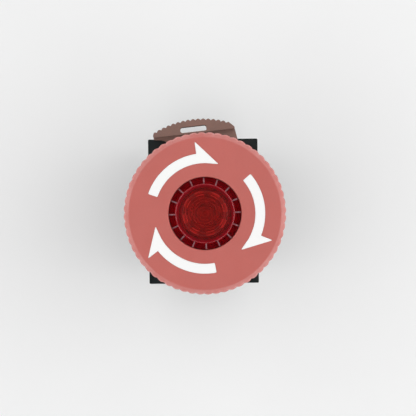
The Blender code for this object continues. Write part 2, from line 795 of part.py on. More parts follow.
def contact_bridge(name, side, parent, finish):
    middle = side * CORE_OFFSET
    bridge_bar = new_object(
        name, boxes((middle - 1.35, middle + 1.35, -7.3, 7.3, BRIDGE_LOW, BRIDGE_HIGH)), finish)
    bridge_bar.parent = parent
    rivets = bmesh.new()
    for end in (-1, 1):
        rivet = [(middle + a, end * CONTACT_Y + b) for a, b in arc(1.2, 0, 330, 11)]
        add_prism(rivets, rivet, BRIDGE_LOW + 0.3, BRIDGE_HIGH + 0.6)
    join(bridge_bar, rivets)
    return bridge_bar


def contact_block(prefix, x, side, finishes):
    """A normally closed block: pushing its plunger carries the bridge away from the fixed strips."""
    parent = group(f"{prefix}_block", x)
    middle = side * CORE_OFFSET
    housing = block_housing(f"{prefix}_housing", side, parent, finishes["charcoal"])
    half_x, half_y = STEM_HALF_X + GAP, STEM_HALF_Y + GAP
    cut(housing, boxes((middle - half_x, middle + half_x, -half_y, half_y, 22.0, BLOCK_TOP + 1)))
    block_cover(f"{prefix}_cover", side, parent, finishes["charcoal"])
    for end in (-1, 1):
        terminal(prefix, end, side, parent, finishes, CONTACT_STRIP)
    contact_plunger(f"{prefix}_plunger", side, parent, finishes["plunger_red"])
    contact_bridge(f"{prefix}_bridge", side, parent, finishes["brass"])
    steel = finishes["spring_steel"]
    springs = (
        coil(f"{prefix}_contact_spring", 1.0, 0.35, 13.15, 15.65, 3, steel, steps=8, sides=0),
        coil(f"{prefix}_return_spring", 1.9, 0.45, 2.7, 11.6, 5, steel, steps=8, sides=0),
    )
    for spring in springs:
        spring.location = (middle * MM, 0, 0)
        spring.parent = parent


def lamp_block(prefix, x, side, finishes):
    """The middle block: its lamp stands in the hollow stem and shines up into the lens."""
    parent = group(f"{prefix}_block", x)
    middle = side * CORE_OFFSET
    housing = block_housing(f"{prefix}_housing", side, parent, finishes["charcoal"])
    hole = [(0, 22.0), (2.9, 22.0), (2.9, 27.0), (0, 27.0)]
    cut(housing, lathe(hole, SMALL))
    block_cover(f"{prefix}_cover", side, parent, finishes["charcoal"])
    for end in (-1, 1):
        terminal(prefix, end, side, parent, finishes, LAMP_STRIP)
    socket = [(0, 23.8), (2.6, 23.8), (2.6, FLANGE_BACK), (4.2, FLANGE_BACK), (4.2, 37.6),
              (3.4, 38.2), (0, 38.2)]
    led = [(0, 38.5), (3.1, 38.5), (3.1, 39.3), (2.5, 39.3), (2.5, 41.2), (1.8, 42.8), (0, 43.4)]
    resistor = [(0, 8.0), (0.7, 8.0), (0.9, 8.6), (0.9, 13.4), (0.7, 14.0), (0, 14.0)]
    new_object(f"{prefix}_socket", lathe(socket, 24), finishes["acetal"]).parent = parent
    new_object(f"{prefix}_led", lathe(led, 24), finishes["lamp_clear"]).parent = parent
    board = new_object(f"{prefix}_board", boxes((middle - 0.8, middle + 0.8, -7.3, 7.3, 3.2, 23.0)),
                       finishes["board_green"], smooth=False)
    board.parent = parent
    part = new_object(f"{prefix}_resistor", lathe(resistor, 12), finishes["acetal"])
    part.location = ((middle + side * 2.0) * MM, 0, 0)
    part.parent = parent


# Assembly ----------------------------------------------------------------------------------------

def make_head(finishes):
    moving = group("head_axis", z=HEAD_BOTTOM)
    pieces = [
        mushroom_head(finishes["head_red"]),
        *arrow_inlays(finishes["inlay_white"]),
        lens(finishes["lens_red"]),
        cam_sleeve(finishes["acetal"]),
        diffuser(finishes["frosted"]),
        circlip("head_circlip", 5.65, 7.4, 73.95, 74.6, finishes["spring_steel"]),
        circlip("actuator_circlip", 5.3, 6.9, 31.98, 32.55, finishes["spring_steel"]),
    ]
    for piece in pieces:
        for obj in (piece, *(m.object for m in piece.modifiers)):
            obj.parent = moving
            obj.location.z -= HEAD_BOTTOM * MM
    contact_actuator(finishes["acetal"])


def make_operator(finishes):
    operator_housing(finishes["black"])
    bezel_ring(finishes["black"])
    panel_gasket(finishes["rubber"])
    lip_seal(finishes["rubber"])
    coil("return_spring", 7.6, 1.0, SEAT_HIGH + 0.2, 49.3, 4.5, finishes["spring_steel"], sides=0)
    for side, label in ((-1, "left"), (1, "right")):
        latch_pin(side, f"latch_pin_{label}", finishes["zinc"])
        latch_spring(side, f"latch_spring_{label}", finishes["spring_steel"])


def make_flange(finishes):
    flange_body(finishes["black"])
    locking_lever(finishes["lever_brown"])


def make_blocks(finishes):
    for prefix, x, side in block_places():
        if prefix == "lamp":
            lamp_block(prefix, x, side, finishes)
        else:
            contact_block(prefix, x, side, finishes)


def main():
    for obj in list(bpy.data.objects):
        bpy.data.objects.remove(obj, do_unlink=True)
    finishes = make_materials()
    make_head(finishes)
    make_operator(finishes)
    make_flange(finishes)
    make_blocks(finishes)


main()
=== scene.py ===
"""The illuminated emergency stop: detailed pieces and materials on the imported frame.
Lengths are in millimetres and are turned into metres where a mesh is made."""
import json
import math

import bmesh
import bpy
from mathutils import Matrix, Vector


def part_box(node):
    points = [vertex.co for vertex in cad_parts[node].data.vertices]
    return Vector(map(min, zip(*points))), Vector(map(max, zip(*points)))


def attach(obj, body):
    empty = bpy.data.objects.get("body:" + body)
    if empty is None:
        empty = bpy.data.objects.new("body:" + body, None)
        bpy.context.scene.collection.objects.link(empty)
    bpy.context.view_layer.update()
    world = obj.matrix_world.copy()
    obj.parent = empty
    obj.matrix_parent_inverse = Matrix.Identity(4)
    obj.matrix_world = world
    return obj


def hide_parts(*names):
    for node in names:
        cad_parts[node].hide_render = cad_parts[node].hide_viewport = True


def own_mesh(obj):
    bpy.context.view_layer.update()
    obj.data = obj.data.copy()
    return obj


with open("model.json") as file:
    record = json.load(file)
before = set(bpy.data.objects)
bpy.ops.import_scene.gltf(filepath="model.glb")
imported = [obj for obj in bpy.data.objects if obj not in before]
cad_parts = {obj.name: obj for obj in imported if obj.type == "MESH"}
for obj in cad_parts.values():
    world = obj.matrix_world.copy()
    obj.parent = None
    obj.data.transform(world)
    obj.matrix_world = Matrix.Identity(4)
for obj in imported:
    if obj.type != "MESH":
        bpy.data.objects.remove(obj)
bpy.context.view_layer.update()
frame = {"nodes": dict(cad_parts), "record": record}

MM = 0.001
BODY_OF = {n: b for b, nodes in frame["record"]["behaviour"]["bodies"].items() for n in nodes}


def low(node):
    return [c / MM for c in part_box(node)[0]]


def high(node):
    return [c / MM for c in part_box(node)[1]]


# Materials --------------------------------------------------------------------

class Nodes:
    """A material's node tree, with short calls for the nodes used here."""

    def __init__(self, name, colour, roughness, metallic=0.0):
        self.material = bpy.data.materials.new(name)
        self.material.use_nodes = True
        self.material.diffuse_color = (*colour, 1)
        self.tree = self.material.node_tree
        self.shader = self.tree.nodes["Principled BSDF"]
        self.put("Roughness", roughness)
        self.put("Metallic", metallic)
        self.put("Base Color", (*colour, 1))
        self.where = self.tree.nodes.new("ShaderNodeTexCoord").outputs["Object"]

    def put(self, socket, value):
        self.shader.inputs[socket].default_value = value

    def link(self, source, socket):
        self.tree.links.new(source, self.shader.inputs[socket])

    def add(self, kind, values=None, links=None, **settings):
        node = self.tree.nodes.new("ShaderNode" + kind)
        for key, value in settings.items():
            setattr(node, key, value)
        for key, value in (values or {}).items():
            node.inputs[key].default_value = value
        for key, source in (links or {}).items():
            self.tree.links.new(source, node.inputs[key])
        return node

    def stretch(self, x, y, z):
        """Object coordinates in millimetres, divided by the given feature sizes."""
        scale = (1 / (x * MM), 1 / (y * MM), 1 / (z * MM))
        return self.add("Mapping", {"Scale": scale}, {"Vector": self.where}).outputs["Vector"]

    def noise(self, size, detail=3.0, rough=0.55, stretch=None):
        vector = self.stretch(*(stretch or (size, size, size)))
        node = self.add("TexNoise", {"Scale": 1.0, "Detail": detail, "Roughness": rough},
                        {"Vector": vector})
        return node.outputs["Fac"]

    def radius(self):
        """Distance from the object's own Z axis in millimetres."""
        flat = self.stretch(1, 1, 1e9)
        return self.add("VectorMath", links={0: flat}, operation="LENGTH").outputs["Value"]

    def height(self):
        """Height in the object's own Z in millimetres."""
        return self.add("SeparateXYZ", links={"Vector": self.stretch(1, 1, 1)}).outputs["Z"]

    def times(self, first, second):
        return self.add("Math", links={0: first, 1: second}, operation="MULTIPLY").outputs[0]

    def cells(self, size):
        node = self.add("TexVoronoi", {"Scale": 1.0}, {"Vector": self.stretch(size, size, size)},
                        feature="F1")
        return node.outputs["Distance"]

    def between(self, fac, start, end, low_end=0.3, high_end=0.7):
        ramp = self.add("ValToRGB", links={"Fac": fac})
        for element, at, colour in zip(ramp.color_ramp.elements, (low_end, high_end), (start, end)):
            element.position = at
            element.color = (*colour, 1)
        return ramp.outputs["Color"]

    def span(self, fac, to_low, to_high, from_low=0.3, from_high=0.7):
        node = self.add("MapRange", {"From Min": from_low, "From Max": from_high,
                                     "To Min": to_low, "To Max": to_high}, {"Value": fac})
        return node.outputs["Result"]

    def mix(self, fac, first, second, blend="MIX"):
        node = self.add("Mix", data_type="RGBA", blend_type=blend)
        self.tree.links.new(first, node.inputs[6])
        self.tree.links.new(second, node.inputs[7])
        if isinstance(fac, float):
            node.inputs[0].default_value = fac
        else:
            self.tree.links.new(fac, node.inputs[0])
        return node.outputs[2]

    def bump(self, *layers):
        """Each layer is (height output, strength, distance in millimetres)."""
        normal = None
        for height, strength, distance in layers:
            links = {"Height": height}
            if normal:
                links["Normal"] = normal
            node = self.add("Bump", {"Strength": strength, "Distance": distance * MM}, links)
            normal = node.outputs["Normal"]
        self.link(normal, "Normal")


def shade(colour, factor):
    return tuple(min(1.0, c * factor) for c in colour)


def moulded(name, colour, roughness, mottle=0.08, grain=0.12, grain_size=0.16, edge=0.25, dust=0.0,
            specular=0.5):
    """Moulded plastic: soft flow mottling, spark-eroded grain and edges rubbed a little lighter."""
    m = Nodes(name, colour, roughness)
    flow = m.noise(7.0, 4.0)
    speck = m.noise(0.5, 2.0)
    body = m.between(flow, shade(colour, 1 - mottle), shade(colour, 1 + mottle))
    fine = m.between(speck, shade(colour, 1 - mottle / 2), shade(colour, 1 + mottle / 2))
    tone = m.mix(0.5, body, fine)
    worn = m.add("NewGeometry").outputs["Pointiness"]
    wear_and_highlight = m.span(worn, 0.0, edge, 0.52, 0.62)
    light = tuple(c + (1 - c) * 0.35 for c in colour)
    tone = m.mix(wear_and_highlight, tone, m.between(flow, light, shade(light, 0.9)))
    if dust:
        film = m.span(m.noise(11.0, 5.0, 0.65), 0.0, dust, 0.45, 0.75)
        tone = m.mix(film, tone, m.between(speck, (0.30, 0.29, 0.27), (0.36, 0.35, 0.33)))
    m.link(tone, "Base Color")
    m.link(m.span(m.noise(2.2, 5.0), roughness - 0.07, roughness + 0.09), "Roughness")
    m.put("Specular IOR Level", specular)
    m.bump((m.noise(grain_size, 2.0), grain, 0.03), (m.noise(4.0, 2.0), 0.08, 0.12))
    return m.material


def metal(name, colour, roughness, tarnish, drawn=(1.2, 0.05, 0.05)):
    """Drawn or plated metal: fine lines along one way, duller patches and small pits."""
    m = Nodes(name, colour, roughness, 1.0)
    patches = m.noise(1.8, 5.0, 0.6)
    m.link(m.between(patches, colour, tarnish, 0.42, 0.78), "Base Color")
    lines = m.noise(1.0, 3.0, 0.6, stretch=drawn)
    m.link(m.span(lines, roughness - 0.08, roughness + 0.16), "Roughness")
    m.bump((lines, 0.18, 0.02), (m.cells(0.35), 0.06, 0.02))
    return m.material


def make_red_plastic():
    """The head's red, with a painted highlight paling it along the rim."""
    colour = (0.525, 0.138, 0.118)
    m = Nodes("head_red", colour, 0.42)
    flow = m.noise(9.0, 3.0)
    speck = m.noise(0.35, 2.0)
    body = m.between(flow, shade(colour, 0.95), shade(colour, 1.05))
    fine = m.between(speck, shade(colour, 0.97), shade(colour, 1.03))
    tone = m.mix(0.5, body, fine)
    # Painted highlight: the rim's chamfer is mixed towards pale pink where the lamps' reflection shows
    # on it.
    outer = m.span(m.radius(), 0.0, 1.0, 18.55, 18.95)
    upper = m.span(m.height(), 0.0, 1.0, 79.8, 80.9)
    wear_and_highlight = m.times(m.times(outer, upper), m.span(m.noise(5.0, 3.0), 0.05, 0.25))
    pale = m.between(speck, (0.66, 0.36, 0.345), (0.72, 0.43, 0.41))
    m.link(m.mix(wear_and_highlight, tone, pale), "Base Color")
    m.link(m.span(m.noise(1.5, 5.0), 0.36, 0.5), "Roughness")
    m.put("Subsurface Weight", 0.05)
    m.put("Subsurface Radius", (0.004, 0.001, 0.001))
    m.put("Subsurface Scale", 0.25)
    m.bump((m.noise(0.12, 2.0), 0.10, 0.02), (m.noise(6.0, 2.0), 0.05, 0.1))
    return m.material


def make_lens_red():
    """Clear red moulding: the crown's tint painted in faint rings of light and shade for its stepped
    ring lens, a deeper and less clear red in the rim.
    """
    m = Nodes("lens_red", (0.92, 0.13, 0.11), 0.04)
    scratch = m.noise(1.0, 2.0, 0.5, stretch=(0.06, 2.5, 2.5))
    swirl = m.noise(3.0, 2.0)
    # Painted light and shade: the crown's tint swings lighter and darker ring by ring, in step with
    # the lens's stepped rings.
    turns = m.add("Math", {1: 2 * math.pi / RING_PITCH}, {0: m.radius()}, operation="MULTIPLY")
    rings = m.add("Math", links={0: turns.outputs[0]}, operation="COSINE").outputs[0]
    crown_tint_and_ring_shade = m.between(rings, (0.82, 0.10, 0.09), (0.99, 0.18, 0.16), 0.0, 0.8)
    rim = m.between(swirl, (0.93, 0.02, 0.045), (0.96, 0.03, 0.06))
    outward = m.span(m.radius(), 0.0, 1.0, 5.9, 6.9)
    m.link(m.mix(outward, crown_tint_and_ring_shade, rim), "Base Color")
    m.link(m.span(scratch, 0.0, 0.05), "Roughness")
    m.link(m.span(m.radius(), 0.96, 0.64, 6.2, 8.2), "Transmission Weight")
    m.put("IOR", 1.49)
    m.put("Specular IOR Level", 0.2)
    m.bump((swirl, 0.01, 0.02))
    return m.material


def make_rib_glint():
    """The same red, painted paler on the ribs as the highlight that their thin tops catch."""
    m = Nodes("lens_rib_glint", (0.50, 0.20, 0.22), 0.5)
    # Painted highlight: the ribs' pale pink stands in for the glints along their top edges.
    m.link(m.between(m.noise(0.5, 4.0), (0.26, 0.08, 0.10), (0.48, 0.24, 0.27)), "Base Color")
    m.link(m.span(m.noise(0.3), 0.35, 0.6), "Roughness")
    m.put("Transmission Weight", 0.25)
    m.bump((m.noise(0.2), 0.2, 0.03))
    return m.material


def make_lamp_clear():
    m = Nodes("lamp_clear", (0.92, 0.90, 0.86), 0.08)
    m.link(m.between(m.noise(1.5), (0.90, 0.86, 0.78), (0.95, 0.94, 0.92)), "Base Color")
    m.link(m.span(m.noise(0.6), 0.05, 0.2), "Roughness")
    m.put("Transmission Weight", 0.8)
    m.put("IOR", 1.53)
    return m.material


def make_acetal():
    colour = (0.80, 0.76, 0.68)
    m = Nodes("acetal", colour, 0.38)
    m.link(m.between(m.noise(5.0, 4.0), shade(colour, 0.93), shade(colour, 1.05)), "Base Color")
    m.link(m.span(m.noise(1.0, 4.0), 0.3, 0.48), "Roughness")
    m.put("Subsurface Weight", 0.2)
    m.put("Subsurface Radius", (0.003, 0.002, 0.0015))
    m.put("Subsurface Scale", 0.3)
    m.bump((m.noise(0.2), 0.06, 0.02))
    return m.material


def make_frosted():
    colour = (0.50, 0.25, 0.15)
    m = Nodes("frosted", colour, 0.5)
    m.link(m.between(m.noise(1.2, 4.0), shade(colour, 0.88), shade(colour, 1.1)), "Base Color")
    m.link(m.span(m.noise(0.4, 3.0), 0.4, 0.6), "Roughness")
    m.put("Subsurface Weight", 0.3)
    m.put("Subsurface Radius", (0.003, 0.002, 0.001))
    m.put("Subsurface Scale", 0.5)
    m.bump((m.noise(0.15), 0.15, 0.02))
    return m.material


def make_rubber():
    colour = (0.016, 0.016, 0.016)
    m = Nodes("rubber", colour, 0.8)
    bloom = m.noise(4.0, 5.0, 0.65)
    m.link(m.between(bloom, colour, (0.04, 0.04, 0.039), 0.4, 0.8), "Base Color")
    m.link(m.span(bloom, 0.7, 0.92), "Roughness")
    m.put("Sheen Weight", 0.15)
    m.bump((m.noise(0.2, 3.0), 0.2, 0.04))
    return m.material


def make_board():
    green = (0.02, 0.17, 0.06)
    m = Nodes("board_green", green, 0.35)
    brick = m.add("TexBrick", {"Scale": 1.0, "Mortar Size": 0.08, "Brick Width": 2.2,
                               "Row Height": 0.9, "Color1": (*green, 1),
                               "Color2": (*shade(green, 0.85), 1),
                               "Mortar": (*shade(green, 1.7), 1)},
                  {"Vector": m.stretch(1.0, 1.0, 1.0)})
    m.link(m.mix(0.2, brick.outputs["Color"], m.between(m.noise(2.0), green, shade(green, 1.3))),
           "Base Color")
    m.link(m.span(m.noise(1.0), 0.28, 0.42), "Roughness")
    m.bump((brick.outputs["Fac"], 0.2, 0.03))
    return m.material


def make_resistor():
    """A beige resistor body with coloured bands along its length."""
    beige, brown = (0.62, 0.50, 0.33), (0.12, 0.04, 0.015)
    black, gold = (0.02, 0.02, 0.02), (0.6, 0.42, 0.1)
    m = Nodes("resistor", beige, 0.35)
    ramp = m.add("ValToRGB", links={"Fac": m.span(m.height(), 0.0, 1.0, 8.0, 14.0)})
    ramp.color_ramp.interpolation = "CONSTANT"
    bands = [(0.0, beige), (0.2, brown), (0.28, beige), (0.38, black), (0.46, beige),
             (0.56, brown), (0.64, beige), (0.78, gold), (0.86, beige)]
    elements = ramp.color_ramp.elements
    elements[0].color = (*bands[0][1], 1)
    elements.remove(elements[1])
    for at, colour in bands[1:]:
        elements.new(at).color = (*colour, 1)
    m.link(ramp.outputs["Color"], "Base Color")
    m.link(m.span(m.noise(0.8), 0.28, 0.42), "Roughness")
    return m.material


def make_materials():
    return {
        "head_red": make_red_plastic(),
        "inlay_white": moulded("inlay_white", (0.93, 0.93, 0.92), 0.45, mottle=0.02, grain=0.05,
                               edge=0.0),
        "lens_red": make_lens_red(),
        "lens_rib_glint": make_rib_glint(),
        "lamp_clear": make_lamp_clear(),
        "acetal": make_acetal(),
        "black": moulded("black", (0.005, 0.010, 0.010), 0.45, mottle=0.2, grain=0.22,
                         grain_size=0.14, edge=0.04, dust=0.02, specular=0.2),
        "lever_brown": moulded("lever_brown", (0.205, 0.10, 0.072), 0.55, mottle=0.25, grain=0.5,
                               grain_size=0.2, edge=0.15, specular=0.2),
        "charcoal": moulded("charcoal", (0.012, 0.014, 0.015), 0.48, mottle=0.2, grain=0.25,
                            grain_size=0.15, edge=0.06, dust=0.04, specular=0.35),
        "frosted": make_frosted(),
        "plunger_red": moulded("plunger_red", (0.55, 0.03, 0.03), 0.4),
        "rubber": make_rubber(),
        "board_green": make_board(),
        "spring_steel": metal("spring_steel", (0.60, 0.60, 0.61), 0.28, (0.42, 0.40, 0.38)),
        "zinc": metal("zinc", (0.50, 0.51, 0.52), 0.38, (0.33, 0.34, 0.33), (0.3, 0.3, 2.0)),
        "brass": metal("brass", (0.80, 0.58, 0.27), 0.3, (0.50, 0.33, 0.14)),
    }


# Mesh helpers -----------------------------------------------------------------

def polar(radius, degrees):
    angle = math.radians(degrees)
    return radius * math.cos(angle), radius * math.sin(angle)


def arc(radius, start, end, steps, centre=(0, 0)):
    points = (polar(radius, start + (end - start) * i / steps) for i in range(steps + 1))
    return [(centre[0] + x, centre[1] + y) for x, y in points]


def circle(radius, centre=(0, 0)):
    return arc(radius, 0, 345, 23, centre)


def rectangle(x0, x1, y0, y1):
    return [(x0, y0), (x1, y0), (x1, y1), (x0, y1)]


def rounded(points, radius, steps=3, closed=True):
    """Rounds an outline's corners. A point (x, y, r) has its own radius, 0 to stay sharp."""
    result = []
    n = len(points)
    for i, point in enumerate(points):
        corner = Vector(point[:2])
        r = point[2] if len(point) > 2 else radius
        if r == 0 or (not closed and i in (0, n - 1)):
            result.append(tuple(corner))
            continue
        before = Vector(points[i - 1][:2]) - corner
        after = Vector(points[(i + 1) % n][:2]) - corner
        half = before.angle(after) / 2
        if half > math.radians(88):
            result.append(tuple(corner))
            continue
        reach = min(r / math.tan(half), 0.45 * before.length, 0.45 * after.length)
        start, end = corner + before.normalized() * reach, corner + after.normalized() * reach
        for k in range(steps + 1):
            t = k / steps
            result.append(tuple(start * (1 - t) ** 2 + corner * 2 * t * (1 - t) + end * t * t))
    return result


def piece(name, bm, material, bevel=0.0, segments=2, limit=35, weighted=True):
    """A bmesh made in millimetres becomes a smooth-shaded object in metres with bevelled edges."""
    bmesh.ops.recalc_face_normals(bm, faces=bm.faces)
    bmesh.ops.scale(bm, vec=(MM, MM, MM), verts=bm.verts)
    mesh = bpy.data.meshes.new(name)
    bm.to_mesh(mesh)
    bm.free()
    mesh.shade_smooth()
    if material:
        mesh.materials.append(material)
    obj = bpy.data.objects.new(name, mesh)
    bpy.context.scene.collection.objects.link(obj)
    if bevel:
        modifier = obj.modifiers.new("edges", "BEVEL")
        modifier.width = bevel * MM
        modifier.segments = segments
        modifier.limit_method = "ANGLE"
        modifier.angle_limit = math.radians(limit)
    if weighted:
        modifier = obj.modifiers.new("normals", "WEIGHTED_NORMAL")
        modifier.keep_sharp = True
    return obj


def boolean(obj, bm, operation="DIFFERENCE"):
    """Puts a Boolean before the bevel and applies it, so that no helper object is left."""
    helper = piece(obj.name + "_helper", bm, None, weighted=False)
    modifier = obj.modifiers.new("boolean", "BOOLEAN")
    modifier.operation = operation
    modifier.solver = "EXACT"
    modifier.object = helper
    others = [m for m in obj.modifiers if m != modifier]
    shown = [m.show_viewport for m in others]
    for m in others:
        m.show_viewport = False
    bpy.context.view_layer.update()
    evaluated = obj.evaluated_get(bpy.context.evaluated_depsgraph_get())
    mesh = bpy.data.meshes.new_from_object(evaluated)
    obj.modifiers.remove(modifier)
    old = obj.data
    obj.data = mesh
    bpy.data.meshes.remove(old)
    for m, state in zip(others, shown):
        m.show_viewport = state
    bpy.data.objects.remove(helper)
    obj.data.shade_smooth()
    if not any(m.type == "BEVEL" for m in obj.modifiers):
        obj.data.set_sharp_from_angle(angle=math.radians(30))


def lathe(profile, sides, teeth=None, bm=None):
    """A turned solid about Z from a closed profile of (radius, height). Where a ring isn't round,
    teeth(radius, height, angle) gives its radius."""
    bm = bm or bmesh.new()
    rings = []
    for radius, height in profile:
        if radius < 1e-6:
            rings.append([bm.verts.new((0, 0, height))])
            continue
        ring = []
        for i in range(sides):
            angle = 360 * i / sides
            r = teeth(radius, height, angle) if teeth else radius
            ring.append(bm.verts.new((*polar(r, angle), height)))
        rings.append(ring)
    for ring, after in zip(rings, rings[1:] + rings[:1]):
        for i in range(sides):
            j = (i + 1) % sides
            if len(ring) > 1 and len(after) > 1:
                bm.faces.new((ring[i], ring[j], after[j], after[i]))
            elif len(ring) > 1:
                bm.faces.new((ring[i], ring[j], after[0]))
            elif len(after) > 1:
                bm.faces.new((ring[0], after[j], after[i]))
    return bm


def sector(profile, start, end, steps, bm=None):
    """A profile of (radius, height) turned about Z from one angle to another."""
    bm = bm or bmesh.new()
    rows = []
    for i in range(steps + 1):
        angle = start + (end - start) * i / steps
        rows.append([bm.verts.new((*polar(r, angle), z)) for r, z in profile])
    n = len(profile)
    for row, after in zip(rows, rows[1:]):
        for k in range(n):
            bm.faces.new((row[k], row[(k + 1) % n], after[(k + 1) % n], after[k]))
    bm.faces.new(rows[0])
    bm.faces.new(rows[-1])
    return bm


def prism(outline, start, end, along="Z", bm=None):
    """An outline of (x, y) raised along Z, of (y, z) along X or of (x, z) along Y."""
    bm = bm or bmesh.new()
    place = {"Z": lambda p, t: (p[0], p[1], t), "X": lambda p, t: (t, p[0], p[1]),
             "Y": lambda p, t: (p[0], t, p[1])}[along]
    bottom = [bm.verts.new(place(p, start)) for p in outline]
    top = [bm.verts.new(place(p, end)) for p in outline]
    n = len(outline)
    bm.faces.new(bottom)
    bm.faces.new(top)
    for i in range(n):
        bm.faces.new((bottom[i], bottom[(i + 1) % n], top[(i + 1) % n], top[i]))
    return bm


def block(x0, x1, y0, y1, z0, z1, bm=None):
    return prism(rectangle(x0, x1, y0, y1), z0, z1, bm=bm)


def moved(bm, matrix):
    bmesh.ops.transform(bm, matrix=matrix, verts=bm.verts)
    return bm


def coil(name, radius, wire, low_z, high_z, turns, material):
    """A coil spring with closed end turns: a round wire swept along its curve."""
    curve = bpy.data.curves.new(name, "CURVE")
    curve.dimensions = "3D"
    curve.bevel_depth = wire / 2 * MM
    curve.bevel_resolution = 4
    curve.use_fill_caps = True
    steps, closed_turns = 28, 0.75
    spline = curve.splines.new("POLY")
    count = int(turns * steps)
    spline.points.add(count)
    bottom, top = low_z + wire / 2, high_z - wire / 2
    for i, point in enumerate(spline.points):
        rise = (i / count * turns - closed_turns) / (turns - 2 * closed_turns)
        x, y = polar(radius, 360 * i / steps)
        z = bottom + (top - bottom) * min(1, max(0, rise))
        z += (0.02 if rise <= 0 else 0) * wire * i / steps
        point.co = (x * MM, y * MM, z * MM, 1)
    spline.use_smooth = True
    curve.materials.append(material)
    path = bpy.data.objects.new(name + "_path", curve)
    mesh = bpy.data.meshes.new_from_object(path)
    bpy.data.objects.remove(path)
    mesh.name = name
    mesh.shade_smooth()
    obj = bpy.data.objects.new(name, mesh)
    bpy.context.scene.collection.objects.link(obj)
    return obj


def shorten(spring):
    """Gives the spring its own copy of its mesh."""
    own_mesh(spring)


def stand_for(obj, node):
    """obj rides on the node's body and is shown in its place."""
    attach(obj, BODY_OF[node])
    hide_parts(node)


# The head ---------------------------------------------------------------------

HEAD_TOP = high("mushroom_head")[2]
HEAD_BOTTOM = low("mushroom_head")[2]
HEAD_RADIUS = high("mushroom_head")[0]
TEETH = 60
TOOTH_DEPTH = 0.27
TOOTH_TURN = -1.17      # degrees from where the teeth would be symmetric to X
TOOTHED_RADIUS = 18.2   # the head carries teeth only where it is wider than this
TEETH_FOOT = 72.6       # where the teeth have faded out on the taper

ARROW_OUTER, ARROW_INNER = 14.78, 12.36     # radii of an arrow's curved shaft
ARROW_BARB, ARROW_POINT = 17.9, 12.55       # radii of its barb and of its point
ARROW_TAIL, ARROW_NECK = 160.5, 97.8        # angles at which the first arrow's shaft ends
ARROW_INNER_NECK, ARROW_TIP = 88.0, 73.8

LENS_HOLE = 9.0
LENS_RIM = LENS_HOLE - 0.13
LENS_CROWN = 7.35       # radius of the raised middle
LENS_LEDGE = 79.8       # height of the sunk rim between the ribs
LENS_RIBS = 16
RIB_HALF = 0.16
RIB_TURN = 1.6          # degrees from +X to the first rib
RING_PITCH = 0.78
RING_COUNT = 6
RING_FACE = 80.9        # height of the stepped inner side of the crown

RIM_TABS = 8            # the cam sleeve's rim is cut into these
RIM_TURN = 15
NOTCH_START, NOTCH_END = 12, 33     # from a tab's middle


def grip_teeth(radius, height, angle):
    """Rounded lobes with sharp notches between them, fading out over the rim and the taper."""
    if radius < TOOTHED_RADIUS:
        return radius
    fade = min(1, max(0, (HEAD_TOP - 0.05 - height) / 0.5), max(0, (height - TEETH_FOOT) / 1.4))
    lobe = abs(math.sin(math.radians((angle - TOOTH_TURN) * TEETH / 2)))
    return radius - TOOTH_DEPTH * fade * (1 - lobe)


def arrow_outline(turn, grow=0.0, corner=0.3):
    """A curved arrow pointing clockwise, turned from the first one and grown all round."""
    outer, inner = ARROW_OUTER + grow, ARROW_INNER - grow
    spread = math.degrees(grow / outer)
    tail, neck = ARROW_TAIL + spread, ARROW_NECK + spread
    points = [(*p, 0) for p in arc(outer, turn + tail, turn + neck, 24)]
    points[0] = (*points[0][:2], corner)
    points[-1] = (*points[-1][:2], corner * 0.6)
    points.append((*polar(ARROW_BARB + grow, turn + neck), corner * 0.6))
    points.append((*polar(ARROW_POINT, turn + ARROW_TIP - 2 * spread), corner * 0.5))
    points += [(*p, 0) for p in arc(inner, turn + ARROW_INNER_NECK, turn + tail, 28)]
    points[-1] = (*points[-1][:2], corner)
    return rounded(points, corner)


def make_head(mats):
    """The hollow toothed head with arrows let into its face and a slot for the stem's keys."""
    shell = rounded([
        (LENS_HOLE, 81.75, 0), (9.2, HEAD_TOP, 0.1), (18.75, HEAD_TOP, 0.25),
        (19.62, 81.5, 0.4), (HEAD_RADIUS, 80.7, 0.5),
        (HEAD_RADIUS, 74.2, 1.6), (17.9, 70.4, 2.5), (16.7, 67.0, 2.0), (16.35, HEAD_BOTTOM, 0.35),
        (15.3, HEAD_BOTTOM, 0.3), (15.5, 68.0, 1.0), (17.3, 73.0, 1.5), (17.6, 79.2, 0.8),
        (10.2, 79.2, 0.6), (10.2, 72.2, 0.3), (8.2, 71.6, 0.3), (8.2, 68.6, 0.2), (6.25, 68.6, 0.2),
        (6.25, 73.7, 0.2), (LENS_HOLE, 73.7, 0.3),
    ], 0.3, steps=7)
    head = piece("head_shell", lathe(shell, TEETH * 10, grip_teeth), mats["head_red"])
    cutter = bmesh.new()
    for turn in (0, 120, 240):
        prism(arrow_outline(turn, 0.03), HEAD_TOP - 0.68, HEAD_TOP + 1, bm=cutter)
    boolean(head, cutter)
    boolean(head, block(-7.3, 7.3, -0.9, 0.9, 67.6, 74.7))
    stand_for(head, "mushroom_head")
    for i in range(3):
        inlay = prism(arrow_outline(120 * i), HEAD_TOP - 0.65, HEAD_TOP - 0.01)
        stand_for(piece(f"arrow_{i + 1}", inlay, mats["inlay_white"], 0.05), f"arrow_inlay_{i + 1}")


def lens_profile():
    """A cap with a rounded crown, a sunk rim and a stepped ring lens on its inner side."""
    top = high("lens")[2]
    outside = rounded([
        (0, top), (4.6, top - 0.06), (7.15, top - 0.34), (LENS_CROWN, 82.05, 0.12),
        (LENS_CROWN, LENS_LEDGE, 0.15), (LENS_RIM, LENS_LEDGE, 0.15), (LENS_RIM, 74.0, 0.15),
        (7.9, 74.0, 0.15), (7.9, 78.4, 0.4), (6.1, 78.9, 0.3), (6.1, 80.7, 0.3), (5.0, 81.0),
    ], 0.8, steps=5, closed=False)
    rings = []
    for i in range(RING_COUNT, 0, -1):
        outer, inner = i * RING_PITCH, (i - 1) * RING_PITCH
        rings += [(outer, RING_FACE), (outer - 0.2, RING_FACE + 0.125)]
        rings.append((inner + 0.1, RING_FACE + 0.01))
    return outside + rings + [(0, RING_FACE + 0.01)]


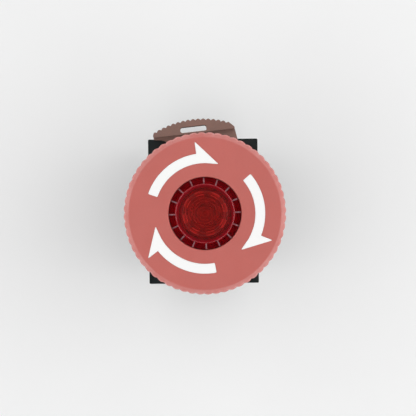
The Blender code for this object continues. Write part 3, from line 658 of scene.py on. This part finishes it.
def make_lens(mats):
    cap = bmesh.new()
    lathe(lens_profile(), 128, bm=cap)
    cap_faces = len(cap.faces)
    inner, outer, foot = LENS_CROWN - 0.15, LENS_RIM - 0.02, LENS_LEDGE - 0.1
    rib = rounded([(inner, foot, 0), (outer, foot, 0), (outer, 81.3), (inner, 81.5)], 0.15)
    for i in range(LENS_RIBS):
        start = len(cap.verts)
        prism(rib, -RIB_HALF, RIB_HALF, "Y", cap)
        cap.verts.ensure_lookup_table()
        turn = Matrix.Rotation(math.radians(360 * i / LENS_RIBS + RIB_TURN), 4, "Z")
        bmesh.ops.transform(cap, matrix=turn, verts=cap.verts[start:])
    cap.faces.ensure_lookup_table()
    for face in cap.faces[cap_faces:]:
        face.material_index = 1
    lens = piece("lens_cap", cap, mats["lens_red"], weighted=False)
    # The ribs take the material with the painted highlight.
    lens.data.materials.append(mats["lens_rib_glint"])
    lens.data.set_sharp_from_angle(angle=math.radians(30))
    stand_for(lens, "lens")


def make_stem(mats):
    """The cam sleeve: its bright rim, cut into eight, shows through the lens."""
    profile = rounded([
        (4.7, 79.4), (5.7, 79.4), (5.7, 75.2), (6.0, 75.0), (6.0, 74.8, 0), (5.5, 74.8, 0),
        (5.5, 73.8, 0), (6.0, 73.8, 0), (6.0, 68.3, 0.2), (7.6, 68.3, 0.3), (7.6, 57.7, 0.5),
        (8.8, 52.6, 0.5), (8.8, 49.5, 0.2), (6.1, 49.5, 0.3), (6.1, 35.4, 0.3), (5.5, 35.4, 0.2),
        (5.5, 32.65, 0), (5.15, 32.65, 0), (5.15, 31.9, 0), (5.5, 31.9, 0), (5.5, 31.5, 0.1),
        (4.7, 31.5, 0.1), (4.7, 71.0, 0), (4.1, 71.4, 0.1), (4.1, 72.0, 0.1), (4.7, 72.0, 0),
    ], 0.15, steps=4)
    stem = piece("cam_stem", lathe(profile, 96), mats["acetal"])
    cuts = bmesh.new()
    for i in range(RIM_TABS):
        tab = RIM_TURN + 360 / RIM_TABS * i
        sector(rectangle(4.4, 6.0, 75.6, 80.4), tab + NOTCH_START, tab + NOTCH_END, 3, cuts)
    for side in (0, 180):
        sector(rectangle(7.2, 9.2, 56.1, 58.1), side - 25, side + 25, 10, cuts)
    boolean(stem, cuts)
    keys = block(-7.1, -5.5, -0.6, 0.6, 68.0, 73.0)
    boolean(stem, block(5.5, 7.1, -0.6, 0.6, 68.0, 73.0, keys), "UNION")
    stand_for(stem, "cam_sleeve")


def make_diffuser(mats):
    profile = rounded([(0, 73.0, 0), (3.8, 73.0, 0.1), (3.8, 72.3, 0.1), (4.5, 72.3), (4.5, 74.2),
                       (3.6, 74.6, 1.0), (0, 74.8, 0)], 0.2, closed=False)
    stand_for(piece("light_diffuser", lathe(profile, 96), mats["frosted"]), "diffuser")


def circlip(inner, outer, z0, z1):
    """A split ring with an eye at each end."""
    outline = arc(outer, 25, 335, 48) + arc(inner, 335, 25, 48)
    clip = prism(outline, z0, z1)
    for angle in (27, 333):
        x, y = polar((inner + outer) / 2, angle)
        prism(arc((outer - inner) / 2, 0, 345, 23, (x, y)), z0, z1, bm=clip)
    return clip


def make_clips(mats):
    for name, inner, outer, z0, z1 in (("head_circlip", 5.65, 7.4, 73.95, 74.6),
                                       ("actuator_circlip", 5.3, 6.9, 31.98, 32.55)):
        clip = piece(name + "_ring", circlip(inner, outer, z0, z1), mats["spring_steel"], 0.08)
        stand_for(clip, name)


def make_actuator(mats):
    profile = rounded([(5.7, 32.75), (11.0, 32.75, 0.3), (11.0, 34.6, 0.4), (8.0, 34.6, 0.3),
                       (8.0, 35.4, 0.2), (5.7, 35.4)], 0.15)
    disc = piece("actuator_disc", lathe(profile, 96), mats["acetal"])
    lugs = block(-1.2, 1.2, 10.2, 12.1, 32.75, 34.6)
    boolean(disc, block(-1.2, 1.2, -12.1, -10.2, 32.75, 34.6, lugs), "UNION")
    stand_for(disc, "contact_actuator")


# The operator's fixed body ----------------------------------------------------

PIN_HEIGHT = 52.4       # the latch pins' axis
LEVER_ANGLE = 96.1      # where the locked lever stands, in degrees
GROOVE_LOW, GROOVE_HIGH = 39.7, 42.3


def make_housing(mats):
    """The barrel with its pin holes, key and the two bayonet grooves that the lever turns in."""
    profile = rounded([
        (13.1, 60.0, 0.2), (13.1, 51.2, 0), (14.75, 51.2, 0.25), (14.75, 50.0, 0.25),
        (11.1, 50.0, 0), (11.1, 35.0, 0.4), (9.3, 35.0, 0.2), (9.3, 35.7, 0), (6.4, 35.7, 0.2),
        (6.4, 36.9, 0.2), (9.3, 36.9, 0), (9.3, 58.2, 0), (11.5, 58.2, 0.2), (11.5, 60.0, 0.2),
    ], 0.2, steps=4)
    housing = piece("operator_barrel", lathe(profile, 144), mats["black"], 0.06, 1, 50)
    cuts = bmesh.new()
    for side in (-1, 1):
        prism(circle(1.4, (0, PIN_HEIGHT)), side * 9.0, side * 14.0, "X", cuts)
    boolean(housing, cuts)
    grooves, entries = bmesh.new(), bmesh.new()
    around = rectangle(10.2, 11.6, GROOVE_LOW, GROOVE_HIGH)
    down = rectangle(10.2, 11.6, 34.0, GROOVE_LOW + 0.3)
    for locked in (LEVER_ANGLE + 90, LEVER_ANGLE - 90):
        sector(around, locked - 58, locked + 13, 24, grooves)
        sector(down, locked - 58, locked - 32, 9, entries)
    boolean(housing, grooves)
    boolean(housing, entries)
    boolean(housing, block(-1.6, 1.6, 10.4, 12.1, 45.0, 50.5), "UNION")
    stand_for(housing, "operator_housing")


BEZEL_RADIUS = 14.75
FLUTES = 48
FLUTES_LOW, FLUTES_HIGH = 52.6, 59.0


def bezel_grip(radius, height, angle):
    """Shallow flutes round the bezel's wall."""
    if radius < BEZEL_RADIUS - 0.15 or not FLUTES_LOW < height < FLUTES_HIGH:
        return radius
    wave = abs(math.sin(math.radians(angle * FLUTES / 2)))
    return radius - 0.16 * (1 - wave)


def make_bezel(mats):
    top = high("bezel_ring")[2]
    edges = (FLUTES_LOW - 0.1, FLUTES_LOW + 0.1, FLUTES_HIGH - 0.1, FLUTES_HIGH + 0.1)
    wall = [(BEZEL_RADIUS, z, 0) for z in edges]
    profile = rounded([(13.3, 51.4), (BEZEL_RADIUS, 51.4, 0.3), *wall, (BEZEL_RADIUS, top, 1.0),
                       (9.2, top, 0.35), (9.2, 60.3, 0.2), (13.3, 60.3, 0.3)], 0.2, steps=6)
    ring = piece("bezel_cap", lathe(profile, 288, bezel_grip), mats["black"])
    stand_for(ring, "bezel_ring")


def make_seals(mats):
    """The panel gasket with three sealing grooves, and the lip round the stem."""
    base, top = low("panel_gasket")[2], high("panel_gasket")[2]
    grooves = []
    for r in (11.9, 12.8, 13.7):
        grooves += [(r - 0.3, base, 0), (r, base + 0.16, 0.1), (r + 0.3, base, 0)]
    profile = rounded([(11.3, base, 0.2), *grooves, (BEZEL_RADIUS, base, 0.3),
                       (BEZEL_RADIUS, top, 0.3), (11.3, top, 0.2)], 0.1)
    gasket = piece("gasket_ring", lathe(profile, 128), mats["rubber"])
    boolean(gasket, block(-1.8, 1.8, 10.0, 12.4, base - 3, top + 3))
    stand_for(gasket, "panel_gasket")
    lip = rounded([(11.3, 58.4), (11.3, 60.1), (9.0, 60.1, 0.5), (8.05, 61.0, 0.1),
                   (7.8, 60.8, 0.1), (8.5, 58.4)], 0.2, steps=4)
    stand_for(piece("stem_seal", lathe(lip, 128), mats["rubber"]), "lip_seal")


def make_springs(mats):
    """The return spring, and on each side a latch pin with the spring behind it."""
    steel = mats["spring_steel"]
    foot, top = low("return_spring")[2], high("return_spring")[2]
    main = coil("main_spring", 7.6, 1.0, foot, top, 5.5, steel)
    stand_for(main, "return_spring")
    shorten(main)
    for side, label in ((-1, "left"), (1, "right")):
        spring = coil(f"latch_{label}_coil", 0.85, 0.32, 0, 1.95, 4.5, steel)
        turn = Matrix.Rotation(side * math.pi / 2, 4, "Y")
        spring.data.transform(turn)
        spring.data.transform(Matrix.Translation((side * 11.15 * MM, 0, PIN_HEIGHT * MM)))
        stand_for(spring, f"latch_spring_{label}")
        pin = lathe([(0, 0), (0.55, 0.1), (0.95, 0.42), (1.15, 0.9), (1.2, 1.2), (1.2, 1.95),
                     (1.1, 2.05), (0, 2.05)], 32)
        moved(pin, Matrix.Translation((side * 8.95, 0, PIN_HEIGHT)) @ turn)
        stand_for(piece(f"latch_{label}_plunger", pin, mats["zinc"]), f"latch_pin_{label}")


# The flange and its lever -----------------------------------------------------

GRIP_RADIUS = 25.0
GRIP_PITCH = 3.2        # degrees from tooth to tooth
RING_INNER, RING_HUB, RING_OUTER = 11.5, 12.9, 13.6
RING_STEP = 40.0        # top of the ring's wider part, under the flange's hooks
WEB_TOP = 41.0          # on the lever's middle line
WEB_SLOPE = 0.19

HOOK_ANGLES = (150, 220, 320)
BLOCK_PITCH = 9.9
# Each block's name, its middle and the side that its cover is on.
PLACES = (("nc_left", -BLOCK_PITCH, -1), ("lamp", 0.0, 1), ("nc_right", BLOCK_PITCH, 1))
CORE = -0.55            # from a block's middle towards its cover, where its working parts are
POCKETS = [x + side * CORE for name, x, side in PLACES]


def lever_frame(points):
    """From the lever's own frame, with its grip on +Y, to where it stands."""
    c, s = polar(1, LEVER_ANGLE - 90)
    return [(p[0] * c - p[1] * s, p[0] * s + p[1] * c, *p[2:]) for p in points]


def grip_edge(radius, depth, pitch, first, last, per_tooth=8):
    """Rounded teeth from tip number first to tip number last, a tip on the grip's middle line."""
    steps = int((last - first) * per_tooth)
    points = []
    for i in range(steps + 1):
        tooth = first + (last - first) * i / steps
        lobe = abs(math.cos(math.pi * tooth))
        points.append((*polar(radius - depth * (1 - lobe), 90 + pitch * tooth), 0))
    return points


def make_lever(mats):
    """A ring with two cams inside, a sloping web and the toothed grip with its slot."""
    base, top = low("locking_lever")[2], high("locking_lever")[2]
    ring = rounded([(RING_INNER, base), (RING_OUTER, base, 0.2), (RING_OUTER, RING_STEP, 0.2),
                    (RING_HUB, RING_STEP, 0.1), (RING_HUB, top, 0.3), (RING_INNER, top, 0.3)],
                   0.15, steps=4)
    lever = piece("lever", lathe(ring, 144), mats["lever_brown"], 0.12, 3, 40)
    edge = grip_edge(GRIP_RADIUS, 0.42, GRIP_PITCH, -7, 8)
    grip = rounded([*edge, (-11.1, 21.9, 0.2), (-11.15, 21.25, 0.2), (10.95, 21.25, 0.2),
                    (10.85, 21.75, 0.3)], 0.2)
    web = rounded([(-11.1, 21.6, 0), (-11.2, 20.8, 0.4), (-7.6, 20.2, 2.0), (-6.6, 12.2, 0),
                   (6.6, 12.2, 0), (9.2, 15.5, 1.2), (11.5, 17.4, 0.5), (10.85, 21.6, 0)], 0.3)
    web = prism(lever_frame(web), base, WEB_TOP)
    right = polar(1, LEVER_ANGLE - 90)
    for vert in web.verts:
        if vert.co.z > base + 1:
            vert.co.z += WEB_SLOPE * (vert.co.x * right[0] + vert.co.y * right[1])
    boolean(lever, web, "UNION")
    boolean(lever, prism(lever_frame(grip), base, top), "UNION")
    cams = bmesh.new()
    for middle in (LEVER_ANGLE + 90, LEVER_ANGLE - 90):
        sector(rectangle(10.5, 12.2, 40.0, 42.0), middle - 11, middle + 11, 8, cams)
    boolean(lever, cams, "UNION")
    slot = rounded(rectangle(-3.7, 3.42, 21.6, 23.1), 0.72, steps=6)
    boolean(lever, prism(lever_frame(slot), 30, 50))
    stand_for(lever, "locking_lever")


def make_flange(mats):
    """The plate behind the lever, with hooks over its ring and pockets for the blocks' hooks."""
    back, front = low("flange_body")[2], 38.0
    half_x, half_y = high("flange_body")[0], high("flange_body")[1]
    outline = rounded(rectangle(-half_x, half_x, -half_y, half_y), 0.35, steps=4)
    body = piece("flange", prism(outline, back, front), mats["black"], 0.12, 2, 40)
    hooks = bmesh.new()
    section = rounded([(13.9, 37.0, 0), (15.2, 37.0, 0), (15.2, 41.4, 0.4), (13.2, 41.4, 0.25),
                       (13.2, 40.3, 0.1), (13.9, 40.3, 0.1)], 0.2)
    for angle in HOOK_ANGLES:
        sector(section, angle - 8, angle + 8, 6, hooks)
    boolean(body, hooks, "UNION")
    boolean(body, lathe(rectangle(0, 11.5, 20, 50), 144))
    pockets = bmesh.new()
    for y in (-12.5, 10.5):
        block(-1.5, 1.5, y, y + 2.0, back - 1, 36.0, pockets)
    for x in POCKETS:
        for y in (-16.0, 16.0):
            block(x - 2.0, x + 2.0, y - 1.4, y + 1.4, back - 1, 30.5, pockets)
    boolean(body, pockets)
    details = bmesh.new()
    for side in (-1, 1):
        for y in (-13.2, -4.4, 4.4, 13.2):
            groove = rounded(rectangle(y - 3.6, y + 3.6, 28.4, 35.8), 0.6)
            prism(groove, side * (half_x - 0.35), side * (half_x + 1), "X", details)
        for x in POCKETS:
            window = rounded(rectangle(x - 1.7, x + 1.7, 28.3, 31.3), 0.3)
            prism(window, side * 17.0, side * (half_y + 1), "Y", details)
            finger = rounded(rectangle(x - 2.6, x + 2.6, 33.0, 35.9), 0.5)
            prism(finger, side * (half_y - 0.5), side * (half_y + 1), "Y", details)
    boolean(body, details)
    stand_for(body, "flange_body")


# The blocks -------------------------------------------------------------------

BLOCK_HALF = 4.75
CASE_END, COVER_START = 3.65, 3.85      # from a block's middle towards its cover
SCREW_Y, SCREW_HOLE = 15.2, 1.95
CONTACT_Y = 6.4
CHAMBER_LOW, CHAMBER_HIGH = 4.0, 14.8   # where the wires go in


def span(x, side, a, b):
    return sorted((x + side * a, x + side * b))


def block_outline(corner=0.7):
    return rounded([(-19.5, 26.0), (-19.5, 7.0), (-10.2, 7.0, 0.5), (-10.2, 0.0), (10.2, 0.0),
                    (10.2, 7.0, 0.5), (19.5, 7.0), (19.5, 26.0)], corner, steps=4)


def make_block_housing(prefix, x, side, mats):
    """The case: hooks into the flange, a cavity, wire chambers at both ends and sunk grip lines."""
    x0, x1 = span(x, side, -BLOCK_HALF, CASE_END)
    mid = x + side * CORE
    body = piece(f"{prefix}_case", prism(block_outline(), x0, x1, "X"), mats["charcoal"], 0.14, 2, 40)
    hooks = bmesh.new()
    for end in (-1, 1):
        hook = [(15.1, 25.5, 0), (16.3, 25.5, 0), (16.3, 28.6, 0.05), (16.9, 28.6, 0.1),
                (16.1, 29.8, 0.2), (15.1, 29.8, 0.2)]
        hook = rounded([(end * y, z, r) for y, z, r in hook], 0.1)
        prism(hook, mid - 1.6, mid + 1.6, "X", hooks)
    boolean(body, hooks, "UNION")
    boolean(body, block(*span(mid, side, -3.0, 6.0), -8.9, 8.9, 2.5, 23.5))
    chambers, slots, details = bmesh.new(), bmesh.new(), bmesh.new()
    chamber = rounded(rectangle(mid - 3.0, mid + 3.0, CHAMBER_LOW, CHAMBER_HIGH), 0.35)
    for end in (-1, 1):
        prism(chamber, *span(0, end, 11.0, 22.0), "Y", chambers)
        block(mid - 2.5, mid + 2.5, *span(0, end, 7.9, 12.0), 13.3, CHAMBER_HIGH, slots)
        prism(circle(2.1, (mid, end * SCREW_Y)), 13.8, 17.2, bm=slots)
        for z in (18.6, 20.4, 22.2):
            line = rounded(rectangle(x0 + 1.2, x1 - 1.2, z, z + 0.8), 0.2)
            prism(line, *span(0, end, 19.2, 20.5), "Y", details)
    prism(rounded(rectangle(x0 + 1.4, x1 - 1.4, -7.5, 7.5), 0.8), -1.0, 0.35, bm=details)
    boolean(body, chambers)
    boolean(body, slots)
    boolean(body, details)
    if prefix == "lamp":
        boolean(body, moved(lathe(rectangle(0, 2.9, 22, 27), 48), Matrix.Translation((x, 0, 0))))
    else:
        boolean(body, block(mid - 2.0, mid + 2.0, -2.7, 2.7, 22.0, 27.0))
    stand_for(body, f"{prefix}_housing")


def make_block_cover(prefix, x, side, mats):
    """The side plate: a sunk panel, snap windows and moulded ribs."""
    x0, x1 = span(x, side, COVER_START, BLOCK_HALF)
    outer = x + side * BLOCK_HALF
    cover = piece(f"{prefix}_side", prism(block_outline(), x0, x1, "X"), mats["charcoal"], 0.12, 2, 40)
    sunk = bmesh.new()
    reach = span(outer, side, -0.3, 1.0)
    panel = rounded([(-8.6, 2.2), (8.6, 2.2), (8.6, 8.6, 0.4), (17.8, 8.6), (17.8, 12.4),
                     (-17.8, 12.4), (-17.8, 8.6), (-8.6, 8.6, 0.4)], 0.6)
    prism(panel, *reach, "X", sunk)
    for y, half in ((-13.0, 4.4), (13.0, 4.4), (0, 6.4)):
        prism(rounded(rectangle(y - half, y + half, 15.4, 22.4), 0.6), *reach, "X", sunk)
    boolean(cover, sunk)
    ribs = bmesh.new()
    raised = span(outer, side, -0.5, -0.08)
    for y in (-14.6, -13.0, -11.4, 11.4, 13.0, 14.6):
        prism(rounded(rectangle(y - 0.35, y + 0.35, 16.2, 21.6), 0.2), *raised, "X", ribs)
    for y in (-17.9, 17.9, -8.6, 8.6):
        prism(arc(0.55, 0, 345, 15, (y, 24.2)), *span(outer, side, -0.5, -0.02), "X", ribs)
    for z in (4.4, 6.6):
        prism(rounded(rectangle(-6.8, 6.8, z, z + 0.6), 0.2), *raised, "X", ribs)
    boolean(cover, ribs, "UNION")
    stand_for(cover, f"{prefix}_cover")


def screw_mesh(mid, y):
    """A pan head with a cross slot, and a shank with thread ridges."""
    shank = [(0, 16.8), (1.3, 16.8)]
    z = 16.4
    while z > 10.2:
        shank += [(1.72, z), (1.42, z - 0.25)]
        z -= 0.5
    head = rounded([(1.5, 9.8, 0), (2.7, 9.8, 0.15), (2.7, 8.5, 0.5), (1.9, 7.65, 0.6), (0, 7.6)],
                   0.2, steps=5, closed=False)
    return moved(lathe([*shank, *head], 40), Matrix.Translation((mid, y, 0)))


def make_terminal(prefix, end, x, side, mats):
    """One end's strip, bent up to a contact if there is one, with its ridged clamp and screw."""
    label = "top" if end > 0 else "bottom"
    mid = x + side * CORE
    y = end * SCREW_Y
    contact = prefix != "lamp"
    inward = [(7.6, 14.5)]
    if contact:
        inward = [(8.5, 14.5), (8.5, 18.9), (4.9, 18.9), (4.9, 18.0), (7.6, 18.0)]
    outline = [(18.8, 13.6, 0.3), (18.8, 14.5, 0.3), *inward, (7.6, 13.6)]
    outline = rounded([(end * p[0], *p[1:]) for p in outline], 0.35)
    strip = piece(f"{prefix}_{label}_strip", prism(outline, mid - 2.2, mid + 2.2, "X"),
                  mats["brass"], 0.08, 2, 40)
    boolean(strip, prism(circle(SCREW_HOLE, (mid, y)), 12.6, 15.5))
    if contact:
        boolean(strip, prism(circle(1.3, (mid, end * CONTACT_Y)), 17.4, 18.4), "UNION")
    stand_for(strip, f"{prefix}_strip_{label}")
    plate = rounded(rectangle(mid - 2.7, mid + 2.7, y - 3.2, y + 3.2), 0.5, steps=4)
    clamp = piece(f"{prefix}_{label}_clamp", prism(plate, 10.0, 10.9), mats["zinc"], 0.1, 2, 40)
    cuts = prism(circle(SCREW_HOLE, (mid, y)), 9.0, 12.0)
    for dy in (-2.7, 2.7):
        block(mid - 2.2, mid + 2.2, y + dy - 0.12, y + dy + 0.12, 10.72, 12.0, cuts)
    boolean(clamp, cuts)
    stand_for(clamp, f"{prefix}_clamp_{label}")
    screw = piece(f"{prefix}_{label}_screw", screw_mesh(mid, y), mats["zinc"], 0.05, 2, 45)
    turned = Matrix.Rotation(math.radians(12 * end + 3 * x), 4, "Z")
    place = Matrix.Translation((mid, y, 0)) @ turned
    boolean(screw, moved(block(-3.2, 3.2, -0.36, 0.36, 7.0, 8.65), place))
    boolean(screw, moved(block(-0.36, 0.36, -1.5, 1.5, 7.0, 8.9), place))
    stand_for(screw, f"{prefix}_screw_{label}")


def make_contact_innards(prefix, x, side, mats):
    """The plunger with the bridge and contact spring in its window, and the spring under it."""
    mid = x + side * CORE
    bar = piece(f"{prefix}_push_bar", block(mid - 2.7, mid + 2.7, -2.6, 2.6, 11.8, 23.2),
                mats["plunger_red"], 0.15, 2, 40)
    stem = rounded(rectangle(mid - 1.7, mid + 1.7, -2.4, 2.4), 0.4)
    boolean(bar, prism(stem, 22.0, high(f"{prefix}_plunger")[2]), "UNION")
    boolean(bar, block(mid - 1.6, mid + 1.6, -4.0, 4.0, 13.0, 19.5))
    stand_for(bar, f"{prefix}_plunger")
    strip = rounded(rectangle(mid - 1.35, mid + 1.35, -7.3, 7.3), 0.5)
    bridge = piece(f"{prefix}_moving_bridge", prism(strip, 15.8, 16.6), mats["brass"], 0.08, 2, 40)
    rivets = bmesh.new()
    for end in (-1, 1):
        prism(circle(1.2, (mid, end * CONTACT_Y)), 16.1, 17.2, bm=rivets)
    boolean(bridge, rivets, "UNION")
    stand_for(bridge, f"{prefix}_bridge")
    for node, radius, wire, turns in (("contact_spring", 1.0, 0.34, 4.5),
                                      ("return_spring", 1.9, 0.44, 7.5)):
        foot, top = low(f"{prefix}_{node}")[2], high(f"{prefix}_{node}")[2]
        spring = coil(f"{prefix}_{node}_coil", radius, wire, foot, top, turns, mats["spring_steel"])
        spring.data.transform(Matrix.Translation((mid * MM, 0, 0)))
        stand_for(spring, f"{prefix}_{node}")
        if node == "return_spring":
            shorten(spring)


def make_lamp(mats):
    socket = rounded([(0, 23.8, 0), (2.6, 23.8), (2.6, 26.3, 0.1), (4.2, 26.3), (4.2, 37.4, 0.3),
                      (3.4, 38.2, 0.3), (0, 38.2, 0)], 0.2, closed=False)
    stand_for(piece("lamp_holder", lathe(socket, 64), mats["acetal"]), "lamp_socket")
    dome = rounded([(0, 38.5, 0), (3.1, 38.5, 0.1), (3.1, 39.3, 0.15), (2.5, 39.3, 0.1),
                    (2.5, 41.0, 0.3), (1.9, 42.6, 1.0), (0, 43.4, 0)], 0.2, steps=6, closed=False)
    stand_for(piece("lamp_dome", lathe(dome, 64), mats["lamp_clear"]), "lamp_led")


def carry_over(mats):
    """CAD nodes whose shape is right keep their mesh and get the detailed materials."""
    frame["nodes"]["lamp_board"].data.materials[0] = mats["board_green"]
    frame["nodes"]["lamp_resistor"].data.materials[0] = make_resistor()


# Stage ------------------------------------------------------------------------

# How bright the white light tent round the object is, against the sine of the height in it: white
# walls all round and a dark opening overhead.
TENT = ((0.0, 1.15), (0.3, 1.3), (0.74, 1.5), (0.93, 0.03), (1.0, 0.03))
SIDE_WALLS = 0.95       # how much brighter the side walls are than the ones in front and behind
FLOOR_HALF = 1500
CAMERA_EYE, CAMERA_TARGET = (-3.84, 5.67, 480), (1.68, 0.45, 0)
CAMERA_ROLL = -0.63


def make_floor():
    m = Nodes("floor_pale", (0.90, 0.905, 0.905), 0.7)
    m.link(m.between(m.noise(60.0, 4.0), (0.89, 0.895, 0.895), (0.91, 0.915, 0.915)), "Base Color")
    m.bump((m.noise(1.5, 3.0), 0.03, 0.1))
    slab = block(-FLOOR_HALF, FLOOR_HALF, -FLOOR_HALF, FLOOR_HALF, -6.0, -0.02)
    floor = piece("floor", slab, m.material, weighted=False)


def make_key_light():
    """A faint round light from the right, in metres and watts."""
    data = bpy.data.lights.new("key_light", "AREA")
    data.shape = "DISK"
    data.size = 0.5
    data.energy = 0.35
    light = bpy.data.objects.new("key_light", data)
    bpy.context.scene.collection.objects.link(light)
    light.location = (0.5, 0.05, 0.5)
    aim = Vector((0, 0, 0.05)) - light.location
    light.rotation_euler = aim.to_track_quat("-Z", "Y").to_euler()


def make_tent():
    """The white light tent, as the world's background."""
    world = bpy.data.worlds.new("studio")
    bpy.context.scene.world = world
    world.use_nodes = True
    tree = world.node_tree
    background = tree.nodes["Background"]
    direction = tree.nodes.new("ShaderNodeTexCoord").outputs["Generated"]
    parts = tree.nodes.new("ShaderNodeSeparateXYZ")
    tree.links.new(direction, parts.inputs["Vector"])
    tent = tree.nodes.new("ShaderNodeValToRGB")
    tree.links.new(parts.outputs["Z"], tent.inputs["Fac"])
    stops = tent.color_ramp.elements
    for at, glow in TENT:
        stop = stops[0] if at == 0 else stops[-1] if at == 1 else stops.new(at)
        stop.color = (glow, glow, glow, 1)
    tree.links.new(tent.outputs["Color"], background.inputs["Color"])
    across = tree.nodes.new("ShaderNodeMath")
    across.operation = "ABSOLUTE"
    tree.links.new(parts.outputs["X"], across.inputs[0])
    walls = tree.nodes.new("ShaderNodeMapRange")
    walls.inputs["To Min"].default_value = 1 - SIDE_WALLS / 2
    walls.inputs["To Max"].default_value = 1 + SIDE_WALLS / 2
    tree.links.new(across.outputs["Value"], walls.inputs["Value"])
    tree.links.new(walls.outputs["Result"], background.inputs["Strength"])


def make_camera():
    """Looks straight down at the floor, a little off the object's axis."""
    data = bpy.data.cameras.new("camera")
    data.sensor_width = 36
    data.lens = 140.4
    camera = bpy.data.objects.new("camera", data)
    bpy.context.scene.collection.objects.link(camera)
    eye, target = Vector(CAMERA_EYE) * MM, Vector(CAMERA_TARGET) * MM
    camera.location = eye
    tilt = Vector((0, 0, -1)).rotation_difference(target - eye).to_matrix()
    roll = Matrix.Rotation(math.radians(CAMERA_ROLL), 3, "Z")
    camera.rotation_euler = (tilt @ roll).to_euler()
    data.clip_start = 0.01
    bpy.context.scene.camera = camera


def main():
    bpy.context.scene.view_settings.view_transform = "Standard"
    make_camera()
    make_tent()
    make_key_light()
    make_floor()
    mats = make_materials()
    make_head(mats)
    make_lens(mats)
    make_stem(mats)
    make_diffuser(mats)
    make_clips(mats)
    make_actuator(mats)
    make_housing(mats)
    make_bezel(mats)
    make_seals(mats)
    make_springs(mats)
    make_lever(mats)
    make_flange(mats)
    for prefix, x, side in PLACES:
        make_block_housing(prefix, x, side, mats)
        make_block_cover(prefix, x, side, mats)
        for end in (-1, 1):
            make_terminal(prefix, end, x, side, mats)
        if prefix != "lamp":
            make_contact_innards(prefix, x, side, mats)
    make_lamp(mats)
    carry_over(mats)


main()
